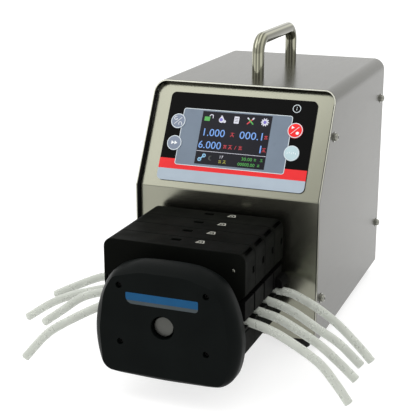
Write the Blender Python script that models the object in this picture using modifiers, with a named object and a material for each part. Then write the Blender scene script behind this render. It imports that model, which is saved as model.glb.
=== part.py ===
"""Bench peristaltic pump: a stainless drive unit with four stacked pump heads.

Metres, +Z up. The front faces -Y, and the origin is on the surface the feet stand
on, below the middle of the whole pump.
"""

import math

import bmesh
import bpy
from mathutils import Euler, Matrix, Vector

# Drive unit
CASE_WIDTH = 0.1834
CASE_DEPTH = 0.2556
CASE_TOP = 0.2425
CASE_BOTTOM = 0.0100
CASE_CORNER = 0.012
SHEET = 0.0015
BEND_HEIGHT = 0.1483
SET_BACK = 0.0523
PANEL_RECESS = 0.006
REAR_RECESS = 0.0065
SHAFT_OPENING = 0.020
VENT_COUNT, VENT_PITCH, VENT_HEIGHT = 7, 0.010, 0.172
VENT_SIZE = (0.0032, 0.046)
FOOT_SPREAD = 0.073
FOOT_SETBACKS = (0.0155, 0.0205)
FOOT_RADII = (0.0088, 0.0102)

# Carry handle
HANDLE_RADIUS = 0.006
HANDLE_RISE = 0.0373
HANDLE_BEND = 0.014
HANDLE_LEGS = (0.0930, 0.2034)

# Pump head stack
HEAD_COUNT = 4
HEAD_PITCH = 0.0265
STACK_GAP = 0.0061
STACK_FRONT = 0.1500
SHAFT_HEIGHT = 0.072
SHAFT_RADIUS = 0.006
SPLIT_HEIGHT = 0.090
HEAD_LEFT, HEAD_RIGHT, HEAD_TOP = -0.0715, 0.0595, 0.1315
HEAD_WALL = 0.0035
TRACK_RADIUS = 0.040
HINGE = (-0.060, 0.092)
HINGE_PIN_RADIUS = 0.002
KNUCKLE_RADIUS = 0.006
LUG_LENGTH, LUG_CLEARANCE, EYE_RADIUS = 0.005, 0.0054, 0.0045
BELLY_RADIUS = 0.050
LEDGE_BOTTOM, LEDGE_TOP = 0.039, 0.0615
UPRIGHT_SIDE = 0.0535
BORE_RADIUS = 0.0070
ADAPTER_RADIUS = 0.044

# Rotor and rollers
ROLLER_COUNT = 3
ROLLER_RADIUS = 0.0085
ROLLER_ORBIT = 0.028
PIN_RADIUS = 0.0025
ROTOR_RADIUS = 0.032
CHEEK, HUB_RADIUS = 0.0024, 0.0095

# Tubing
TUBE_RADIUS = 0.004
TUBE_HEIGHT = 0.067
SQUEEZED_HALF = 0.0014
TUBE_EXIT = 0.0543
SLOT_HALF, SLOT_BOTTOM = 0.0047, 0.0627

# Front plate
PLATE_BACK = 0.128
PLATE_CHAMFER = 0.0085
PLATE_HALF = (
    (0.0300, 0.0224), (0.0440, 0.0226), (0.0530, 0.0248), (0.0603, 0.0315), (0.0645, 0.0430),
    (0.0664, 0.0570), (0.0657, 0.0720), (0.0625, 0.0870), (0.0562, 0.1030), (0.0485, 0.1140),
    (0.0365, 0.1208), (0.0190, 0.1246), (0.0, 0.1255),
)
NECK_RADIUS = 0.046
CAP_RECESS, CAP_THICKNESS = 0.0025, 0.0060
CAP_POCKET_RADIUS, CAP_POCKET_DEPTH = 0.011, 0.010
PLATE_SCREWS = ((0.039, 0.1055), (0.039, 0.0545))
CAP_RADIUS = 0.0097

# Keypad overlay, measured down the slope from the case's top edge
OVERLAY_SIZE = (0.1474, 0.0888)
OVERLAY_DOWN = 0.0548
OVERLAY_THICKNESS = 0.0012
SCREEN = (-0.0027, 0.0542)
SCREEN_SIZE = (0.0734, 0.0558)
KEY_RADIUS = 0.0075
KEYS = {
    "key_direction": (-0.0617, 0.0400),
    "key_prime": (-0.0617, 0.0621),
    "key_run": (0.0562, 0.0402),
    "key_menu": (0.0562, 0.0623),
}
KEY_PROUD = 0.0008

# Rear fittings: x and z of their centres
INLET = (-0.052, 0.062)
SIGNAL_PORT = (0.040, 0.060)
ROCKER_TILT = math.radians(7)
INLET_OPENING = (0.0280, 0.0520)
PORT_OPENING = (0.0300, 0.0110)
FLANGE_THICKNESS = 0.002

# Hidden inside
MOTOR_FLANGE_HALF, MOTOR_FLANGE_THICKNESS = 0.030, 0.006
MOTOR_HALF, MOTOR_LENGTH = 0.028, 0.078
DISPLAY_DEPTH = 0.009
BOARD_SIZE = (0.140, 0.078)
BOARD_LEVELS = (-0.0190, -0.0174)

GAP = 0.0003
MARGIN = 0.003

FRONT = (STACK_FRONT - CASE_DEPTH) / 2
REAR = FRONT + CASE_DEPTH
SLOPE_ANGLE = math.atan2(SET_BACK, CASE_TOP - BEND_HEIGHT)
UP_SLOPE = Vector((0, math.sin(SLOPE_ANGLE), math.cos(SLOPE_ANGLE)))
OUT_OF_SLOPE = Vector((0, -math.cos(SLOPE_ANGLE), math.sin(SLOPE_ANGLE)))
SHAFT_AXIS = Vector((0, 0, SHAFT_HEIGHT))

TURNS = {
    "front": Euler((math.pi / 2, 0, 0)),
    "side": Euler((math.pi / 2, 0, math.pi / 2)),
    "top": Euler((0, 0, 0)),
    "slope": Euler((math.pi / 2 - SLOPE_ANGLE, 0, 0)),
}

for old in list(bpy.data.objects):
    bpy.data.objects.remove(old, do_unlink=True)

PARTS = bpy.data.collections.new("peristaltic_pump")
CUTTERS = bpy.data.collections.new("cutters")
bpy.context.scene.collection.children.link(PARTS)
bpy.context.scene.collection.children.link(CUTTERS)


# ---------------------------------------------------------------- materials

PALETTE = {
    "stainless": ((0.46, 0.45, 0.41), 0.32, 1.0),
    "polished_steel": ((0.62, 0.61, 0.57), 0.12, 1.0),
    "head_plastic": ((0.030, 0.032, 0.034), 0.42, 0.0),
    "panel_film": ((0.035, 0.037, 0.043), 0.35, 0.0),
    "key_grey": ((0.42, 0.44, 0.47), 0.45, 0.0),
    "key_red": ((0.75, 0.05, 0.04), 0.40, 0.0),
    "screen_glass": ((0.010, 0.012, 0.020), 0.10, 0.0),
    "silicone": ((0.80, 0.84, 0.78), 0.30, 0.0),
    "rubber": ((0.012, 0.012, 0.012), 0.75, 0.0),
    "roller_nylon": ((0.78, 0.76, 0.70), 0.40, 0.0),
    "board_green": ((0.02, 0.16, 0.06), 0.50, 0.0),
    "motor_black": ((0.020, 0.020, 0.022), 0.50, 0.3),
}


def material(name):
    found = bpy.data.materials.get(name)
    if found:
        return found
    colour, roughness, metallic = PALETTE[name]
    made = bpy.data.materials.new(name)
    made.use_nodes = True
    shader = made.node_tree.nodes["Principled BSDF"]
    shader.inputs["Base Color"].default_value = (*colour, 1)
    shader.inputs["Roughness"].default_value = roughness
    shader.inputs["Metallic"].default_value = metallic
    return made


# ---------------------------------------------------------------- shape helpers


def part(piece, name, material_name):
    """Names the piece, gives it its material and moves it to the parts."""
    piece.name = name
    piece.data.name = name
    piece.data.materials.clear()
    piece.data.materials.append(material(material_name))
    piece.hide_render = False
    piece.display_type = "TEXTURED"
    for collection in list(piece.users_collection):
        collection.objects.unlink(piece)
    PARTS.objects.link(piece)
    if piece.type == "MESH":
        piece.data.shade_smooth()
        piece.data.set_sharp_from_angle(angle=math.radians(35))
    return piece


def mesh_object(name, shape):
    """A new object from a bmesh, among the cutters until part moves it."""
    mesh = bpy.data.meshes.new(name)
    shape.to_mesh(mesh)
    shape.free()
    piece = bpy.data.objects.new(name, mesh)
    piece.hide_render = True
    piece.display_type = "WIRE"
    CUTTERS.objects.link(piece)
    return piece


def box(low, high):
    shape = bmesh.new()
    bmesh.ops.create_cube(shape, size=1)
    size = Vector(high) - Vector(low)
    middle = (Vector(high) + Vector(low)) / 2
    bmesh.ops.transform(
        shape,
        matrix=Matrix.Translation(middle) @ Matrix.Diagonal((*size, 1)),
        verts=shape.verts,
    )
    return mesh_object("box", shape)


def rod(start, end, radius, sides=24, end_radius=None):
    """A round bar, or a taper, from start to end."""
    start, end = Vector(start), Vector(end)
    shape = bmesh.new()
    bmesh.ops.create_cone(
        shape,
        cap_ends=True,
        segments=sides,
        radius1=radius,
        radius2=radius if end_radius is None else end_radius,
        depth=(end - start).length,
        matrix=Matrix.Translation((start + end) / 2)
        @ (end - start).to_track_quat("Z", "Y").to_matrix().to_4x4(),
    )
    return mesh_object("rod", shape)


def arc(centre, radius, start, end, steps):
    """Points on an arc, angles in degrees, both ends included."""
    angles = [math.radians(start + (end - start) * i / steps) for i in range(steps + 1)]
    return [
        (centre[0] + radius * math.cos(a), centre[1] + radius * math.sin(a)) for a in angles
    ]


def rounded(corners, steps=4):
    """Turns corners (x, y, radius) into outline points with round corners."""
    points = []
    for i, (x, y, radius) in enumerate(corners):
        here = Vector((x, y))
        if radius == 0:
            points.append((x, y))
            continue
        before = (Vector(corners[i - 1][:2]) - here).normalized()
        after = (Vector(corners[(i + 1) % len(corners)][:2]) - here).normalized()
        half = before.angle(after) / 2
        reach = radius / math.tan(half)
        centre = here + (before + after).normalized() * radius / math.sin(half)
        start = here + before * reach - centre
        turn = (math.pi - 2 * half) * (1 if before.cross(after) < 0 else -1)
        first = math.atan2(start.y, start.x)
        for k in range(steps + 1):
            angle = first + turn * k / steps
            spot = centre + Vector((math.cos(angle), math.sin(angle))) * radius
            points.append((spot.x, spot.y))
    return points


def rectangle(width, height, radius, centre=(0, 0)):
    x, y = centre
    return rounded(
        [
            (x - width / 2, y - height / 2, radius),
            (x + width / 2, y - height / 2, radius),
            (x + width / 2, y + height / 2, radius),
            (x - width / 2, y + height / 2, radius),
        ]
    )


def as_mesh(curve_object):
    """The curve's evaluated shape as a welded mesh; the curve is removed."""
    bpy.context.view_layer.update()
    graph = bpy.context.evaluated_depsgraph_get()
    mesh = bpy.data.meshes.new_from_object(curve_object.evaluated_get(graph))
    shape = bmesh.new()
    shape.from_mesh(mesh)
    bmesh.ops.remove_doubles(shape, verts=shape.verts, dist=1e-6)
    bmesh.ops.recalc_face_normals(shape, faces=shape.faces)
    shape.to_mesh(mesh)
    shape.free()
    piece = bpy.data.objects.new(curve_object.name, mesh)
    piece.matrix_world = curve_object.matrix_world.copy()
    piece.hide_render = True
    piece.display_type = "WIRE"
    CUTTERS.objects.link(piece)
    bpy.data.objects.remove(curve_object)
    return piece


def slab(outline, facing, start, end, origin=(0, 0, 0)):
    """A flat outline given thickness along its own normal, from start to end.

    facing "front" puts the outline in XZ and runs along -Y, "side" puts it in YZ and
    runs along +X, "top" runs along +Z, and "slope" runs out of the sloping panel.
    """
    curve = bpy.data.curves.new("outline", "CURVE")
    curve.dimensions = "2D"
    curve.fill_mode = "BOTH"
    curve.extrude = (end - start) / 2
    line = curve.splines.new("POLY")
    line.points.add(len(outline) - 1)
    for spot, (x, y) in zip(line.points, outline):
        spot.co = (x, y, 0, 1)
    line.use_cyclic_u = True
    piece = bpy.data.objects.new("slab", curve)
    turn = TURNS[facing].to_matrix()
    piece.rotation_euler = TURNS[facing]
    piece.location = Vector(origin) + turn @ Vector((0, 0, (start + end) / 2))
    CUTTERS.objects.link(piece)
    return as_mesh(piece)


def turned(profile, centre, sides):
    """A body turned about a line along Y through centre; profile is (radius, y)."""
    shape = bmesh.new()
    spots = [shape.verts.new((radius, 0, -along)) for radius, along in profile]
    for a, b in zip(spots, spots[1:]):
        shape.edges.new((a, b))
    if profile[0][0] > 0:
        shape.edges.new((spots[-1], spots[0]))
    piece = mesh_object("turned", shape)
    piece.rotation_euler = TURNS["front"]
    piece.location = centre
    spin = piece.modifiers.new("turn", "SCREW")
    spin.axis = "Z"
    spin.angle = 2 * math.pi
    spin.steps = sides
    spin.render_steps = sides
    spin.use_merge_vertices = True
    spin.merge_threshold = 0.00001
    spin.use_normal_calculate = True
    return settled(piece)


def settled(piece):
    """Applies the piece's modifiers, and makes its faces point outwards."""
    bpy.context.view_layer.update()
    graph = bpy.context.evaluated_depsgraph_get()
    mesh = bpy.data.meshes.new_from_object(piece.evaluated_get(graph))
    shape = bmesh.new()
    shape.from_mesh(mesh)
    bmesh.ops.remove_doubles(shape, verts=shape.verts, dist=1e-6)
    bmesh.ops.recalc_face_normals(shape, faces=shape.faces)
    shape.to_mesh(mesh)
    shape.free()
    piece.modifiers.clear()
    piece.data = mesh
    return piece


def combine(piece, tools, operation="DIFFERENCE"):
    for tool in tools:
        step = piece.modifiers.new(operation.lower(), "BOOLEAN")
        step.operation = operation
        step.object = tool
    return piece


def pivot_at(piece, name, point):
    """Parents the piece to an empty on its joint's axis, without moving it."""
    pivot = bpy.data.objects.get(name)
    if pivot is None:
        pivot = bpy.data.objects.new(name, None)
        pivot.location = point
        pivot.empty_display_size = 0.01
        PARTS.objects.link(pivot)
    piece.parent = pivot
    piece.matrix_parent_inverse = Matrix.Translation(-Vector(point))
    return pivot


def on_slope(x, down, out=0.0):
    """A point on the sloping front: x across, down from the top edge, out of it."""
    top = Vector((x, FRONT + SET_BACK, CASE_TOP))
    return top - UP_SLOPE * down + OUT_OF_SLOPE * out


def slope_slab(outline, centre, low, high):
    """A slab on the slope around centre (x, down), between two heights out of it."""
    return slab(outline, "slope", low, high, on_slope(*centre))


# ---------------------------------------------------------------- drive unit


def case_inside(clearance):
    """Front outline of the space inside the cover, kept clear of its walls."""
    side = CASE_WIDTH / 2 - SHEET - clearance
    top = CASE_TOP - SHEET - clearance
    corner = CASE_CORNER - SHEET - clearance
    return rounded(
        [
            (-side, CASE_BOTTOM, 0),
            (side, CASE_BOTTOM, 0),
            (side, top, corner),
            (-side, top, corner),
        ]
    )


def panel_profile(depth):
    """Bottom, bend and top (y, z) of a sheet face lying depth behind the cover's edge."""
    bend = BEND_HEIGHT - depth * math.tan(SLOPE_ANGLE / 2)
    top = CASE_TOP - SHEET / 2
    lean = (top - bend) * math.tan(SLOPE_ANGLE)
    return [
        (FRONT + depth, CASE_BOTTOM),
        (FRONT + depth, bend),
        (FRONT + depth + lean, top),
    ]


def make_cover():
    side, top = CASE_WIDTH / 2, CASE_TOP
    inner_side, inner_top = side - SHEET, top - SHEET
    channel = rounded(
        [
            (-side, CASE_BOTTOM, 0),
            (-inner_side, CASE_BOTTOM, 0),
            (-inner_side, inner_top, CASE_CORNER - SHEET),
            (inner_side, inner_top, CASE_CORNER - SHEET),
            (inner_side, CASE_BOTTOM, 0),
            (side, CASE_BOTTOM, 0),
            (side, top, CASE_CORNER),
            (-side, top, CASE_CORNER),
        ]
    )
    cover = slab(channel, "front", -REAR, -FRONT)
    wedge = [
        (FRONT - 0.05, BEND_HEIGHT),
        (FRONT, BEND_HEIGHT),
        (FRONT + SET_BACK, CASE_TOP),
        (FRONT + SET_BACK * 1.2, CASE_TOP + SET_BACK * 0.2 / math.tan(SLOPE_ANGLE)),
        (FRONT - 0.05, CASE_TOP + 0.05),
    ]
    combine(cover, [slab(wedge, "side", -CASE_WIDTH, CASE_WIDTH)])
    part(cover, "cover_shell", "stainless")


def make_front_panel():
    face = panel_profile(PANEL_RECESS)
    back = panel_profile(PANEL_RECESS + SHEET)
    panel = slab(face + back[::-1], "side", -CASE_WIDTH / 2, CASE_WIDTH / 2)
    keep = slab(case_inside(GAP), "front", -REAR, -FRONT + 0.05)
    combine(panel, [keep], "INTERSECT")
    below = -PANEL_RECESS - SHEET - MARGIN
    above = -PANEL_RECESS + MARGIN
    window = rectangle(SCREEN_SIZE[0] + 2 * GAP, SCREEN_SIZE[1] + 2 * GAP, 0)
    tools = [slope_slab(window, SCREEN, below, above)]
    for spot in KEYS.values():
        tools.append(
            rod(on_slope(*spot, below), on_slope(*spot, above), KEY_RADIUS + GAP, 20)
        )
    shaft_start = SHAFT_AXIS + Vector((0, FRONT, 0))
    shaft_end = SHAFT_AXIS + Vector((0, FRONT + 0.02, 0))
    tools.append(rod(shaft_start, shaft_end, SHAFT_OPENING, 24))
    combine(panel, tools)
    part(panel, "front_panel", "stainless")


def make_rear_panel():
    outer = -(REAR - REAR_RECESS)
    outline = case_inside(GAP)
    panel = slab(outline, "front", outer, outer + SHEET)
    through = (REAR - REAR_RECESS - SHEET - MARGIN, REAR - REAR_RECESS + MARGIN)

    def opening(x, z, width, height):
        return box(
            (x - width / 2, through[0], z - height / 2),
            (x + width / 2, through[1], z + height / 2),
        )

    tools = [opening(*INLET, *INLET_OPENING), opening(*SIGNAL_PORT, *PORT_OPENING)]
    for i in range(VENT_COUNT):
        across = (i - (VENT_COUNT - 1) / 2) * VENT_PITCH
        tools.append(opening(across, VENT_HEIGHT, *VENT_SIZE))
    combine(panel, tools)
    part(panel, "rear_panel", "stainless")


def make_base_plate():
    side = CASE_WIDTH / 2 - SHEET - GAP
    front = FRONT + PANEL_RECESS + SHEET + GAP
    back = REAR - REAR_RECESS - SHEET - GAP
    plate = box((-side, front, CASE_BOTTOM), (side, back, CASE_BOTTOM + SHEET))
    part(plate, "base_plate", "stainless")


def make_feet():
    front_setback, rear_setback = FOOT_SETBACKS
    for end, y in (("front", FRONT + front_setback), ("rear", REAR - rear_setback)):
        for side, x in (("left", -FOOT_SPREAD), ("right", FOOT_SPREAD)):
            foot = rod((x, y, 0), (x, y, CASE_BOTTOM - GAP), FOOT_RADII[0], 20, FOOT_RADII[1])
            part(foot, f"foot_{end}_{side}", "rubber")


def make_handle():
    start, end = (FRONT + leg for leg in HANDLE_LEGS)
    top = CASE_TOP + HANDLE_RISE
    route = [(start, CASE_TOP + GAP)]
    route += arc((start + HANDLE_BEND, top - HANDLE_BEND), HANDLE_BEND, 180, 90, 5)
    route += arc((end - HANDLE_BEND, top - HANDLE_BEND), HANDLE_BEND, 90, 0, 5)
    route += [(end, CASE_TOP + GAP)]
    handle = tube("handle", [(0, y, z) for y, z in route], HANDLE_RADIUS, 4)
    part(handle, "carry_handle", "polished_steel")


def tube(name, route, radius, resolution):
    """A round solid bar or tube along the route's points."""
    curve = bpy.data.curves.new(name, "CURVE")
    curve.dimensions = "3D"
    curve.bevel_depth = radius
    curve.bevel_resolution = resolution
    curve.use_fill_caps = True
    line = curve.splines.new("POLY")
    line.points.add(len(route) - 1)
    for spot, point in zip(line.points, route):
        spot.co = (*point, 1)
    return bpy.data.objects.new(name, curve)


def make_keypad():
    face = -PANEL_RECESS + GAP
    overlay = slope_slab(
        rectangle(*OVERLAY_SIZE, 0.005), (0, OVERLAY_DOWN), face, face + OVERLAY_THICKNESS
    )
    above, below = face + OVERLAY_THICKNESS + MARGIN, face - MARGIN
    window = rectangle(SCREEN_SIZE[0] + 2 * GAP, SCREEN_SIZE[1] + 2 * GAP, 0)
    tools = [slope_slab(window, SCREEN, below, above)]
    for spot in KEYS.values():
        tools.append(
            rod(on_slope(*spot, below), on_slope(*spot, above), KEY_RADIUS + GAP, 20)
        )
    combine(overlay, tools)
    part(overlay, "keypad_overlay", "panel_film")

    screen_face = face + OVERLAY_THICKNESS - 0.0002
    display = slope_slab(
        rectangle(*SCREEN_SIZE, 0), SCREEN, -PANEL_RECESS - DISPLAY_DEPTH, screen_face
    )
    part(display, "display_module", "screen_glass")

    board = slope_slab(rectangle(*BOARD_SIZE, 0.002), (0, OVERLAY_DOWN), *BOARD_LEVELS)
    part(board, "control_board", "board_green")

    for name, spot in KEYS.items():
        low = on_slope(*spot, -PANEL_RECESS - 0.0025)
        high = on_slope(*spot, face + OVERLAY_THICKNESS + KEY_PROUD)
        colour = "key_red" if name == "key_run" else "key_grey"
        key = part(rod(low, high, KEY_RADIUS, 20), name, colour)
        pivot_at(key, f"{name}_axis", on_slope(*spot, face))


def make_motor():
    front = FRONT + PANEL_RECESS + SHEET + GAP
    half = MOTOR_FLANGE_HALF
    flange = box(
        (-half, front, SHAFT_HEIGHT - half),
        (half, front + MOTOR_FLANGE_THICKNESS, SHAFT_HEIGHT + half),
    )
    half = MOTOR_HALF
    can = slab(
        rounded(
            [
                (-half, SHAFT_HEIGHT - half, 0.006),
                (half, SHAFT_HEIGHT - half, 0.006),
                (half, SHAFT_HEIGHT + half, 0.006),
                (-half, SHAFT_HEIGHT + half, 0.006),
            ],
            2,
        ),
        "front",
        -(front + MOTOR_LENGTH),
        -(front + MOTOR_FLANGE_THICKNESS - 0.002),
    )
    combine(flange, [can], "UNION")
    part(flange, "drive_motor", "motor_black")


def make_rear_fittings():
    x, z = INLET
    flange_back = REAR - REAR_RECESS + GAP
    flange_face = flange_back + FLANGE_THICKNESS
    body = box(
        (x - 0.0135, flange_back - 0.026, z - 0.0255),
        (x + 0.0135, flange_face, z + 0.0255),
    )
    flange = slab(rectangle(0.032, 0.060, 0.003, INLET), "front", -flange_face, -flange_back)
    combine(body, [flange], "UNION")
    socket = box(
        (x - 0.011, flange_face - 0.016, z - 0.020),
        (x + 0.011, flange_face + MARGIN, z - 0.003),
    )
    pocket = box(
        (x - 0.0106, flange_face - 0.0065, z + 0.0032),
        (x + 0.0106, flange_face + MARGIN, z + 0.0208),
    )
    combine(body, [socket, pocket])
    part(body, "power_inlet", "head_plastic")

    axis = Vector((x, flange_face - 0.0010, z + 0.0120))
    rocker = box((-0.0100, -0.0030, -0.0080), (0.0100, 0.0030, 0.0080))
    rocker.location = axis
    rocker.rotation_euler.x = -ROCKER_TILT
    part(rocker, "power_rocker", "head_plastic")
    pivot_at(rocker, "power_rocker_axis", axis)

    x, z = SIGNAL_PORT
    shell = box(
        (x - 0.0140, flange_back - 0.010, z - 0.0050),
        (x + 0.0140, flange_face + 0.0035, z + 0.0050),
    )
    ears = box(
        (x - 0.0196, flange_back, z - 0.0062),
        (x + 0.0196, flange_back + 0.001, z + 0.0062),
    )
    combine(shell, [ears], "UNION")
    part(shell, "signal_port", "polished_steel")


# ---------------------------------------------------------------- pump heads


def head_span(number):
    """Back and front y of head 1 (front) to 4 (next to the drive)."""
    back = FRONT - STACK_GAP - (HEAD_COUNT - number) * HEAD_PITCH
    return back, back - HEAD_PITCH + GAP


def make_adapter():
    back = FRONT + PANEL_RECESS - GAP
    front = FRONT - STACK_GAP + GAP
    outer, inner = ADAPTER_RADIUS, BORE_RADIUS
    ring = turned([(outer, back), (outer, front), (inner, front), (inner, back)], SHAFT_AXIS, 32)
    part(ring, "adapter_plate", "head_plastic")


def make_body(number):
    back, front = head_span(number)
    middle = (back + front) / 2
    belly = arc((0, SHAFT_HEIGHT), BELLY_RADIUS, 221.3, 318.7, 12)
    right = rounded(
        [
            (-belly[0][0], LEDGE_BOTTOM, 0),
            (HEAD_RIGHT, LEDGE_BOTTOM, 0.004),
            (HEAD_RIGHT, LEDGE_TOP, 0.001),
        ],
        3,
    )[1:]
    right += [(UPRIGHT_SIDE, LEDGE_TOP + 0.001), (UPRIGHT_SIDE, SPLIT_HEIGHT)]
    body = slab(belly + right + [(-x, z) for x, z in reversed(right)], "front", -back, -front)
    for low, high in ((back - LUG_LENGTH, back), (front, front + LUG_LENGTH)):
        arm = box((HINGE[0], low, 0.0855), (-0.050, high, SPLIT_HEIGHT - 0.0001))
        eye = rod((HINGE[0], low, HINGE[1]), (HINGE[0], high, HINGE[1]), EYE_RADIUS, 16)
        combine(body, [arm, eye], "UNION")
    inner_back, inner_front = back - HEAD_WALL, front + HEAD_WALL
    far_back, far_front = back + MARGIN, front - MARGIN
    cavity = rod((0, inner_front, SHAFT_HEIGHT), (0, inner_back, SHAFT_HEIGHT), TRACK_RADIUS, 36)
    bore = rod((0, far_front, SHAFT_HEIGHT), (0, far_back, SHAFT_HEIGHT), BORE_RADIUS, 20)
    hole_ends = (HINGE[0], far_front, HINGE[1]), (HINGE[0], far_back, HINGE[1])
    pin_hole = rod(*hole_ends, HINGE_PIN_RADIUS + GAP, 12)
    top = SPLIT_HEIGHT + MARGIN
    right_slot = box((0.030, middle - SLOT_HALF, SLOT_BOTTOM), (0.070, middle + SLOT_HALF, top))
    left_slot = box((-0.070, middle - SLOT_HALF, SLOT_BOTTOM), (-0.030, middle + SLOT_HALF, top))
    combine(body, [cavity, bore, pin_hole, right_slot, left_slot])
    part(body, f"head_{number}_body", "head_plastic")


def make_hood(number):
    back, front = head_span(number)
    underside = SPLIT_HEIGHT + GAP
    meets = math.degrees(math.asin((underside - HINGE[1]) / KNUCKLE_RADIUS))
    knuckle = arc(HINGE, KNUCKLE_RADIUS, -90, meets, 5)
    outline = rounded(
        [(x, z, 0) for x, z in knuckle]
        + [
            (HEAD_RIGHT - 0.005, underside, 0),
            (HEAD_RIGHT, 0.0945, 0.001),
            (HEAD_RIGHT, HEAD_TOP, 0.008),
            (HEAD_LEFT, HEAD_TOP, 0.008),
            (HEAD_LEFT, HINGE[1] - KNUCKLE_RADIUS, 0.0015),
        ]
    )
    hood = slab(outline, "front", -back, -front)
    inner_back, inner_front = back - HEAD_WALL, front + HEAD_WALL
    cavity = rod((0, inner_front, SHAFT_HEIGHT), (0, inner_back, SHAFT_HEIGHT), TRACK_RADIUS, 36)
    hole_ends = (HINGE[0], front - MARGIN, HINGE[1]), (HINGE[0], back + MARGIN, HINGE[1])
    tools = [cavity, rod(*hole_ends, HINGE_PIN_RADIUS + GAP, 12)]
    for low, high in ((back - LUG_CLEARANCE, back + MARGIN), (front - MARGIN, front + LUG_CLEARANCE)):
        tools.append(box((HEAD_LEFT + 0.0025, low, 0.080), (-0.0505, high, 0.0972)))
    combine(hood, tools)
    part(hood, f"head_{number}_hood", "head_plastic")
    pivot_at(hood, f"head_{number}_hood_axis", (HINGE[0], (back + front) / 2, HINGE[1]))


def roller_spots():
    for i in range(ROLLER_COUNT):
        angle = math.radians(90 + 360 * i / ROLLER_COUNT)
        yield ROLLER_ORBIT * math.cos(angle), SHAFT_HEIGHT + ROLLER_ORBIT * math.sin(angle)


def make_rotor(number):
    """A spool keyed on the shaft, with the roller pins between its cheeks."""
    back, front = head_span(number)
    back -= HEAD_WALL + 0.0005
    front += HEAD_WALL + 0.0005
    bore = SHAFT_RADIUS + GAP
    profile = [
        (bore, back),
        (ROTOR_RADIUS, back),
        (ROTOR_RADIUS, back - CHEEK),
        (HUB_RADIUS, back - CHEEK),
        (HUB_RADIUS, front + CHEEK),
        (ROTOR_RADIUS, front + CHEEK),
        (ROTOR_RADIUS, front),
        (bore, front),
    ]
    rotor = turned(profile, SHAFT_AXIS, 20)
    pins = [
        rod((x, back - CHEEK / 2, z), (x, front + CHEEK / 2, z), PIN_RADIUS, 12)
        for x, z in roller_spots()
    ]
    combine(rotor, pins, "UNION")
    part(rotor, f"head_{number}_rotor", "polished_steel")
    pivot_at(rotor, "drive_axis", SHAFT_AXIS)

    for i, (x, z) in enumerate(roller_spots(), 1):
        ends = (back - CHEEK - GAP, front + CHEEK + GAP)
        hole = PIN_RADIUS + GAP
        roller = turned(
            [(hole, ends[0]), (ROLLER_RADIUS, ends[0]), (ROLLER_RADIUS, ends[1]), (hole, ends[1])],
            (x, 0, z),
            16,
        )
        name = f"head_{number}_roller_{i}"
        part(roller, name, "roller_nylon")
        pivot_at(roller, f"{name}_axis", (x, (back + front) / 2, z))


def squeezed_route():
    """Centre line of the tube through a head, flattened between rollers and track."""
    radius = TRACK_RADIUS - GAP - SQUEEZED_HALF
    bend = 0.005
    right = rounded(
        [
            (radius, SHAFT_HEIGHT, 0),
            (radius, TUBE_HEIGHT, bend - 0.0001),
            (TUBE_EXIT - GAP, TUBE_HEIGHT, 0),
        ],
        3,
    )
    left = [(-x, z) for x, z in reversed(right)]
    return left[:-1] + arc((0, SHAFT_HEIGHT), radius, 180, 0, 20) + right[1:]


def make_squeezed_tube(number):
    back, front = head_span(number)
    middle = (back + front) / 2
    route = [Vector(point) for point in squeezed_route()]
    sides = ([], [])
    for i, here in enumerate(route):
        along = (route[min(i + 1, len(route) - 1)] - route[max(i - 1, 0)]).normalized()
        across = Vector((-along.y, along.x)) * SQUEEZED_HALF
        sides[0].append(tuple(here + across))
        sides[1].append(tuple(here - across))
    band = slab(sides[0] + sides[1][::-1], "front", -middle - 0.0045, -middle + 0.0045)
    part(band, f"head_{number}_tube", "silicone")


def make_front_plate():
    face, back = FRONT - STACK_FRONT, FRONT - PLATE_BACK
    left = [(-x, z) for x, z in reversed(PLATE_HALF[:-1])]
    plate = slab([*PLATE_HALF, *left], "front", -back, -face)
    shape = bmesh.new()
    shape.from_mesh(plate.data)
    bmesh.ops.dissolve_limit(
        shape, angle_limit=math.radians(1), verts=shape.verts, edges=shape.edges
    )
    highest = max(vert.co.z for vert in shape.verts)
    rim = [e for e in shape.edges if all(v.co.z > highest - 1e-6 for v in e.verts)]
    bmesh.ops.bevel(
        shape, geom=rim, offset=PLATE_CHAMFER, segments=1, affect="EDGES", clamp_overlap=False
    )
    bmesh.ops.triangulate(shape, faces=shape.faces)
    shape.to_mesh(plate.data)
    shape.free()
    stack_front = head_span(1)[1] - GAP
    neck_start = (0, back - MARGIN, SHAFT_HEIGHT)
    neck = rod(neck_start, (0, stack_front, SHAFT_HEIGHT), NECK_RADIUS, 40)
    combine(plate, [neck], "UNION")
    start, stack_end = (0, face - MARGIN, SHAFT_HEIGHT), (0, stack_front + MARGIN, SHAFT_HEIGHT)
    tools = [
        rod(start, (0, face + CAP_POCKET_DEPTH, SHAFT_HEIGHT), CAP_POCKET_RADIUS, 28),
        rod((0, face, SHAFT_HEIGHT), stack_end, BORE_RADIUS, 20),
    ]
    for x, z in PLATE_SCREWS:
        for side in (-1, 1):
            tools.append(rod((side * x, face - MARGIN, z), (side * x, face + 0.005, z), 0.0030, 12))
    combine(plate, tools)
    part(plate, "front_plate", "head_plastic")


def make_shaft():
    start = FRONT + PANEL_RECESS + SHEET
    face = FRONT - STACK_FRONT + CAP_RECESS
    shoulder = face + CAP_THICKNESS
    shaft = turned(
        [
            (0.0, start),
            (SHAFT_RADIUS, start),
            (SHAFT_RADIUS, shoulder),
            (CAP_RADIUS, shoulder),
            (CAP_RADIUS, face),
            (0.0, face),
        ],
        SHAFT_AXIS,
        24,
    )
    part(shaft, "drive_shaft", "polished_steel")
    pivot_at(shaft, "drive_axis", SHAFT_AXIS)


def make_hinge_rod():
    back, front = head_span(HEAD_COUNT)[0], head_span(1)[1]
    pin = rod((HINGE[0], front, HINGE[1]), (HINGE[0], back, HINGE[1]), HINGE_PIN_RADIUS, 12)
    part(pin, "hinge_rod", "polished_steel")


# ---------------------------------------------------------------- loose tube ends

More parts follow.
